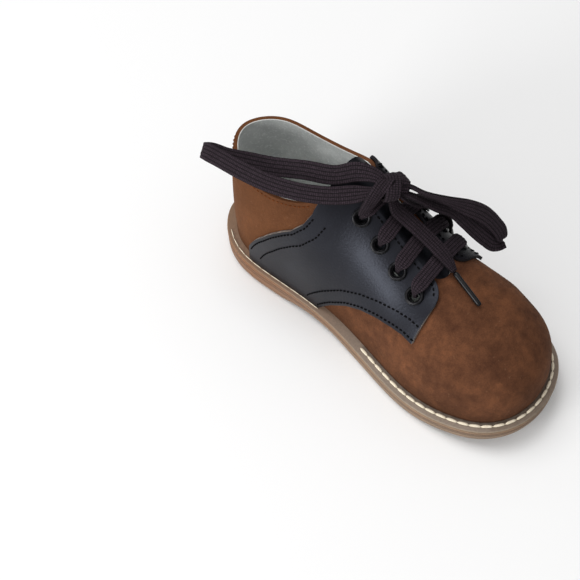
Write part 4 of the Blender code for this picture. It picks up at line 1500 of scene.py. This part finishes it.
# x, y, z, turn of the flat about the run in degrees, share of the lace's width
medialLoop = (
    (-0.0015, 0.0068, 0.0733, 20, 0.70),
    (-0.0062, 0.0118, 0.0725, 10, 1.12),
    (-0.0122, 0.0191, 0.0715, 0, 1.12),
    (-0.0170, 0.0290, 0.0700, 0, 1.12),
    (-0.0203, 0.0419, 0.0680, 0, 1.12),
    (-0.0215, 0.0555, 0.0662, 0, 1.12),
    (-0.0218, 0.0668, 0.0650, 0, 1.12),
    (-0.0219, 0.0732, 0.0641, 0, 1.12),
    (-0.0213, 0.0758, 0.0624, 0, 1.00),
    (-0.0189, 0.0745, 0.0613, 0, 1.00),
    (-0.0169, 0.0681, 0.0614, 0, 1.00),
    (-0.0149, 0.0591, 0.0629, 0, 1.22),
    (-0.0122, 0.0488, 0.0654, 0, 1.22),
    (-0.0077, 0.0353, 0.0694, 0, 1.22),
    (-0.0036, 0.0236, 0.0719, 0, 1.22),
    (0.0015, 0.0168, 0.0743, 0, 1.22),
    (0.0037, 0.0100, 0.0746, -20, 0.90),
)
lateralLoop = (
    (0.0082, -0.0007, 0.0737, 85, 0.70),
    (0.0104, -0.0073, 0.0725, 85, 1.00),
    (0.0146, -0.0128, 0.0698, 72, 1.00),
    (0.0211, -0.0191, 0.0641, 35, 1.10),
    (0.0274, -0.0248, 0.0569, 8, 1.10),
    (0.0297, -0.0283, 0.0519, 0, 1.10),
    (0.0304, -0.0310, 0.0483, 0, 1.10),
    (0.0295, -0.0323, 0.0456, 0, 1.10),
    (0.0267, -0.0310, 0.0458, 0, 1.10),
    (0.0246, -0.0281, 0.0486, 0, 1.10),
    (0.0224, -0.0241, 0.0528, 5, 1.10),
    (0.0198, -0.0199, 0.0581, 15, 1.10),
    (0.0169, -0.0152, 0.0628, 30, 1.00),
    (0.0122, -0.0107, 0.0667, 40, 1.00),
    (0.0093, -0.0066, 0.0692, 50, 0.85),
)
medialEnd = (
    (0.0015, -0.0016, 0.0664, 0, 0.90),
    (0.0025, -0.0039, 0.0642, 0, 1.00),
    (0.0034, -0.0107, 0.0606, 0, 1.00),
    (0.0038, -0.0180, 0.0572, 0, 1.00),
    (0.0034, -0.0230, 0.0554, 0, 0.95),
    (0.0029, -0.0265, 0.0534, 0, 0.70),
    (0.0024, -0.0291, 0.0516, 0, 0.38),
)
medialTip = ((0.0022, -0.0298, 0.0510), (-0.0012, -0.0441, 0.0473))
lateralEnd = (
    (0.0070, -0.0021, 0.0674, 0, 0.90),
    (0.0096, -0.0045, 0.0657, 0, 1.00),
    (0.0138, -0.0074, 0.0631, 0, 1.00),
    (0.0184, -0.0090, 0.0582, 0, 1.00),
    (0.0221, -0.0098, 0.0512, 0, 1.00),
    (0.0242, -0.0104, 0.0443, 0, 0.95),
    (0.0264, -0.0108, 0.0387, 0, 0.38),
)
lateralTip = ((0.0266, -0.0109, 0.0379), (0.0305, -0.0118, 0.0237))


def routeLine(rows, step):
    # rows read at even steps from a smooth curve through all of them
    table = np.array(rows, float)
    chord = np.linalg.norm(np.diff(table[:, :3], axis=0), axis=1)
    knots = np.concatenate([[0.0], np.cumsum(chord)])
    at = np.linspace(0.0, knots[-1], int(round(knots[-1] / step)) + 1)
    keyed = np.column_stack([knots, table])
    return np.column_stack([rowValue(keyed, k + 1, at) for k in range(table.shape[1])])


def stripFrame(line, across):
    # centres and the flat's normal, turned about the run by the fourth column
    points = line[:, :3]
    run = unit(np.gradient(points, axis=0))
    up = unit(np.cross(np.asarray(across, float), run))
    turn = np.radians(line[:, 3])[:, None]
    return points, up * np.cos(turn) + np.cross(run, up) * np.sin(turn)


def wovenStrip(name, points, up, width, thickness=lace["thickness"]):
    # flat oval section with a soft channel down each face, carried along the route
    run = unit(np.gradient(points, axis=0))
    up = unit(up - run * np.sum(up * run, axis=1)[:, None])
    across = np.cross(run, up)
    half = (np.broadcast_to(width, len(points)) / 2)[:, None]
    angle = np.linspace(0, 2 * math.pi, 28, endpoint=False)
    wide = np.sign(np.cos(angle)) * np.abs(np.cos(angle)) ** 0.62
    tall = np.sign(np.sin(angle)) * np.abs(np.sin(angle)) ** 0.75
    tall = tall * (1 - 0.12 * np.cos(wide * 3 * math.pi))
    # the lace bunches where it is narrow, so it is thicker there
    bunch = 1 + 0.5 * (1 - half / (lace["width"] / 2))
    grid = (
        points[:, None, :]
        + across[:, None, :] * (half * wide)[..., None]
        + up[:, None, :] * (thickness / 2 * bunch * tall)[..., None]
    )
    reach = reachOf(points)
    u = np.broadcast_to(wide * lace["width"] / 2 / mm, (len(points), len(angle)))
    v = np.broadcast_to((reach / mm)[:, None], u.shape)
    count, around = u.shape
    faces = gridFaces(count, around, wrapColumns=True)
    item = meshOf(name, grid.reshape(-1, 3), faces, [laceFinish], np.stack([u, v], axis=-1))
    mend(item, close=True, turn=True)
    smooth(item)
    return item


def barHalf(side, number):
    # from an eyelet's bore over its rim to the middle of the throat
    share = np.linspace(0.0, 1.0, 61)
    middle = (eyeletAlong(-1, number) + eyeletAlong(1, number)) / 2
    along = eyeletAlong(side, number) * (1 - share) + middle * share
    underKnot = share**2 if number == 0 else np.zeros(len(share))
    along = along + lace["knotForward"] * underKnot
    foot, spine = sideColumn(side, along)
    girth = girthAtWidth(foot, spine, eyeletSpread(number) * (1 - share))
    seat, normal = sideSurface(side, along, girth, saddle["gap"] + saddle["wall"])
    reach = reachOf(seat)
    at = np.linspace(0.0, reach[-1], 40)
    radii = np.minimum(at / eyelet["outer"], barRows[-1][0])
    rise = rowValue(barRows, 1, radii) + lace["knotLift"] * np.interp(at, reach, underKnot)
    read = readAt(np.column_stack([seat, normal]), reach, at)
    up = unit(read[:, 3:])
    points = toWorld(read[:, :3] + up * rise[:, None])
    return points, worldNormal(up), lace["width"] * rowValue(barRows, 2, radii)


def buildBars():
    # both halves joined at the middle of the throat
    for number in range(eyelet["count"]):
        medial = barHalf(-1, number)
        lateral = barHalf(1, number)
        points, up, width = [np.concatenate([m, n[::-1][1:]]) for m, n in zip(medial, lateral)]
        item = wovenStrip(f"laceBar{number + 1}", points, up, width)
        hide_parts(f"lace_bar_{number + 1}")


# share of the tip's length, share of its radius
tipRows = (
    (-0.05, 0.55),
    (0.00, 0.85),
    (0.02, 0.98),
    (0.06, 1.00),
    (0.50, 0.98),
    (0.88, 0.95),
    (0.96, 0.85),
    (0.99, 0.65),
    (1.00, 0.30),
)


def buildTip(name, node, ends):
    # a crimped tube, flattened a little, that narrows at its point
    start, end = (np.array(e) for e in ends)
    length = np.linalg.norm(end - start)
    axis = unit(end - start)
    profile = np.array(tipRows) * (length, lace["aglet"])
    out = circleAbout(axis, 24, 0.86)
    points = start + out[None, :, :] * profile[:, None, 1:] + axis * profile[:, None, :1]
    faces = gridFaces(len(profile), 24, wrapColumns=True)
    item = meshOf(name, points.reshape(-1, 3), faces, [tipFinish])
    mend(item, close=True, turn=True)
    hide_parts(node)
    return item


def towardKnot(row, share):
    # the row moved to that share of its distance from the knot's centre, at half the lace's width
    inside = np.array(row, float)
    centre = np.array(lace["knotCentre"])
    inside[:3] = centre + (inside[:3] - centre) * share
    inside[4] = 0.5
    return tuple(inside)


def buildCords():
    # each loop from the knot and back into it, each end from the knot to its tip
    tips = {
        "lace_end_medial": buildTip("laceTipMedial", "aglet_medial", medialTip),
        "lace_end_lateral": buildTip("laceTipLateral", "aglet_lateral", lateralTip),
    }
    for name, node, rows, across, farEnd in (
        ("laceLoopMedial", "lace_loop_medial", medialLoop, lace["across"], "object"),
        ("laceLoopLateral", "lace_loop_lateral", lateralLoop, lace["across"], "object"),
        ("laceEndMedial", "lace_end_medial", medialEnd, (-1.0, 0.0, 0.0), "fitting"),
        ("laceEndLateral", "lace_end_lateral", lateralEnd, (0.0, -1.0, 0.0), "fitting"),
    ):
        rows = [towardKnot(rows[0], 0.1), *rows]
        if farEnd == "object":
            rows = [*rows, towardKnot(rows[-1], 0.25)]
        line = routeLine(rows, 0.6 * mm)
        points, up = stripFrame(line, across)
        item = wovenStrip(name, points, up, lace["width"] * line[:, 4])
        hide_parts(node)


knot = {
    "radius": 4.1 * mm,
    "bandWide": 5.6 * mm,
    "bandThick": 1.6 * mm,
    "skew": 1.1 * mm,
    "coreThick": 3.6 * mm,
    "strandThick": 1.5 * mm,
    "strandAcross": (0.70, -0.62, 0.0),
}

knotCore = (
    (-0.0022, 0.0066, 0.0728, 0, 0.75),
    (0.0006, 0.0052, 0.0740, 0, 0.90),
    (0.0034, 0.0036, 0.0746, 0, 0.95),
    (0.0062, 0.0014, 0.0742, 0, 0.90),
    (0.0084, -0.0010, 0.0732, 0, 0.75),
)
knotStrand = (
    (-0.0060, 0.0085, 0.0632, 0, 0.55),
    (-0.0068, 0.0070, 0.0676, 0, 0.70),
    (-0.0060, 0.0058, 0.0714, 0, 0.80),
    (-0.0040, 0.0050, 0.0748, 0, 0.85),
    (-0.0010, 0.0046, 0.0772, 0, 0.85),
    (0.0022, 0.0042, 0.0776, 0, 0.80),
    (0.0050, 0.0038, 0.0758, 0, 0.70),
)


def buildKnot():
    # a flat strip wrapped round the crossing, the two strips folded under it, and a strand
    # from the medial top eyelet over the loop's front band
    axis = unit(np.array(lace["knotAxis"]))
    first, second = frameAbout(axis)
    angle = np.linspace(0.0, 2 * math.pi * 1.08, 90)
    grow = 1 + 0.10 * np.cos(angle * 2) + 0.05 * np.sin(angle * 3)
    radius = knot["radius"] * grow * (1 + 0.05 * angle / (2 * math.pi))
    out = np.cos(angle)[:, None] * first + np.sin(angle)[:, None] * second
    skew = knot["skew"] * np.sin(angle + 0.6)
    points = np.array(lace["knotCentre"]) + out * radius[:, None] + axis * skew[:, None]
    items = [wovenStrip("laceKnotWrap", points, out, knot["bandWide"], knot["bandThick"])]
    for name, rows, step, across, thick in (
        ("laceKnotCore", knotCore, 0.6 * mm, lace["across"], knot["coreThick"]),
        ("laceKnotStrand", knotStrand, 0.5 * mm, knot["strandAcross"], knot["strandThick"]),
    ):
        line = routeLine(rows, step)
        points, up = stripFrame(line, across)
        items.append(wovenStrip(name, points, up, lace["width"] * line[:, 4], thick))
    for item in items:
        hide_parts("lace_knot")


# Camera, floor and light

view = {
    "azimuth": -47.8,
    "elevation": 56.3,
    "roll": -1.5,
    "distance": 0.482,
    "focusPixels": 1155.0,
    "imagePixels": 580.0,
    "sensor": 36.0,
    "aim": (-0.0377, 0.0081),
    "origin": (-0.000935, 0.0, 0.0),
}


def buildCamera():
    # the photograph's direction, rolled with it, at the distance its perspective gives
    az, el, roll = np.radians([view["azimuth"], view["elevation"], view["roll"]])
    back = np.array([np.sin(az) * np.cos(el), -np.cos(az) * np.cos(el), np.sin(el)])
    right = np.array([np.cos(az), np.sin(az), 0.0])
    up = np.cross(back, right)
    rolledRight = right * np.cos(roll) + up * np.sin(roll)
    rolledUp = -right * np.sin(roll) + up * np.cos(roll)
    place = (
        rolledRight * view["aim"][0] + rolledUp * view["aim"][1] + back * view["distance"]
    ) + np.array(view["origin"])
    camera = bpy.data.cameras.new("camera")
    camera.lens = view["sensor"] * view["focusPixels"] / view["imagePixels"]
    camera.sensor_width = view["sensor"]
    camera.clip_start = 0.01
    camera.clip_end = 20
    item = bpy.data.objects.new("camera", camera)
    bpy.context.collection.objects.link(item)
    matrix = np.eye(4)
    matrix[:3, 0] = rolledRight
    matrix[:3, 1] = rolledUp
    matrix[:3, 2] = back
    matrix[:3, 3] = place
    item.matrix_world = Matrix(matrix.tolist())
    bpy.context.scene.camera = item


def buildFloor():
    # a plain matt square under the shoe
    material, tree, _ = newMaterial("pale floor")
    dress(tree, {"Base Color": "#F4F4F4", "Roughness": 0.9})
    points = 3 * np.array([(-1, -1, 0), (1, -1, 0), (1, 1, 0), (-1, 1, 0)], float)
    item = plainObject("floor", points, [(0, 1, 2, 3)])
    item.data.materials.append(material)


lights = {
    "overhead": {"at": (-0.10, 0.45, 1.30), "size": 0.9, "watts": 8.0},
    "sheen": {"at": (-1.15, 0.20, 0.32), "size": 0.56, "watts": 8.5},
}
room = {"stops": ((0.0, "#4A4A4A"), (0.35, "#A8A8A8"), (0.9, "#FFFFFF")), "strength": 0.78}


def buildLights():
    # round lamps aimed at the shoe in a room that is paler above
    for name, light in lights.items():
        lamp = bpy.data.lights.new(name, "AREA")
        lamp.shape = "DISK"
        lamp.size = light["size"]
        lamp.energy = light["watts"]
        item = bpy.data.objects.new(name, lamp)
        bpy.context.collection.objects.link(item)
        place = np.array(light["at"])
        item.location = place
        item.rotation_euler = Vector((-place).tolist()).to_track_quat("-Z", "Y").to_euler()
    world = bpy.data.worlds.new("studio")
    bpy.context.scene.world = world
    world.use_nodes = True
    tree = world.node_tree
    place = addNode(tree, "TexCoord", output="Generated")
    across = addNode(tree, "SeparateXYZ", {"Vector": place}, "X")
    up = addNode(tree, "SeparateXYZ", {"Vector": place}, "Z")
    # the lateral side stands before a darker wall
    height = addNode(tree, "Math", {"operation": "MULTIPLY_ADD", 0: across, 1: -0.18, 2: up})
    sky = addNode(tree, "ValToRGB", {"Fac": height, "stops": room["stops"]})
    feed(tree, tree.nodes["Background"].inputs["Color"], sky)
    feed(tree, tree.nodes["Background"].inputs["Strength"], room["strength"])
    bpy.context.scene.view_settings.view_transform = "Standard"


buildCamera()
buildCords()
buildBars()
buildKnot()
print("lace laid")
shells = buildUpper()
print("upper and lining made")
buildSole()
buildWeltStitches()
print("sole made")
saddles = {side: buildSaddle(side, f"saddle{word}", f"saddle_{word.lower()}") for side, word in sides.items()}
buildTongue()
buildEyelets(saddles, shells)
print("saddles, tongue and eyelets made")
for side, word in sides.items():
    buildSaddleStitches(side, word)
buildToplineStitches()
print("stitches sewn")
buildFloor()
buildLights()
print("floor and lights set")
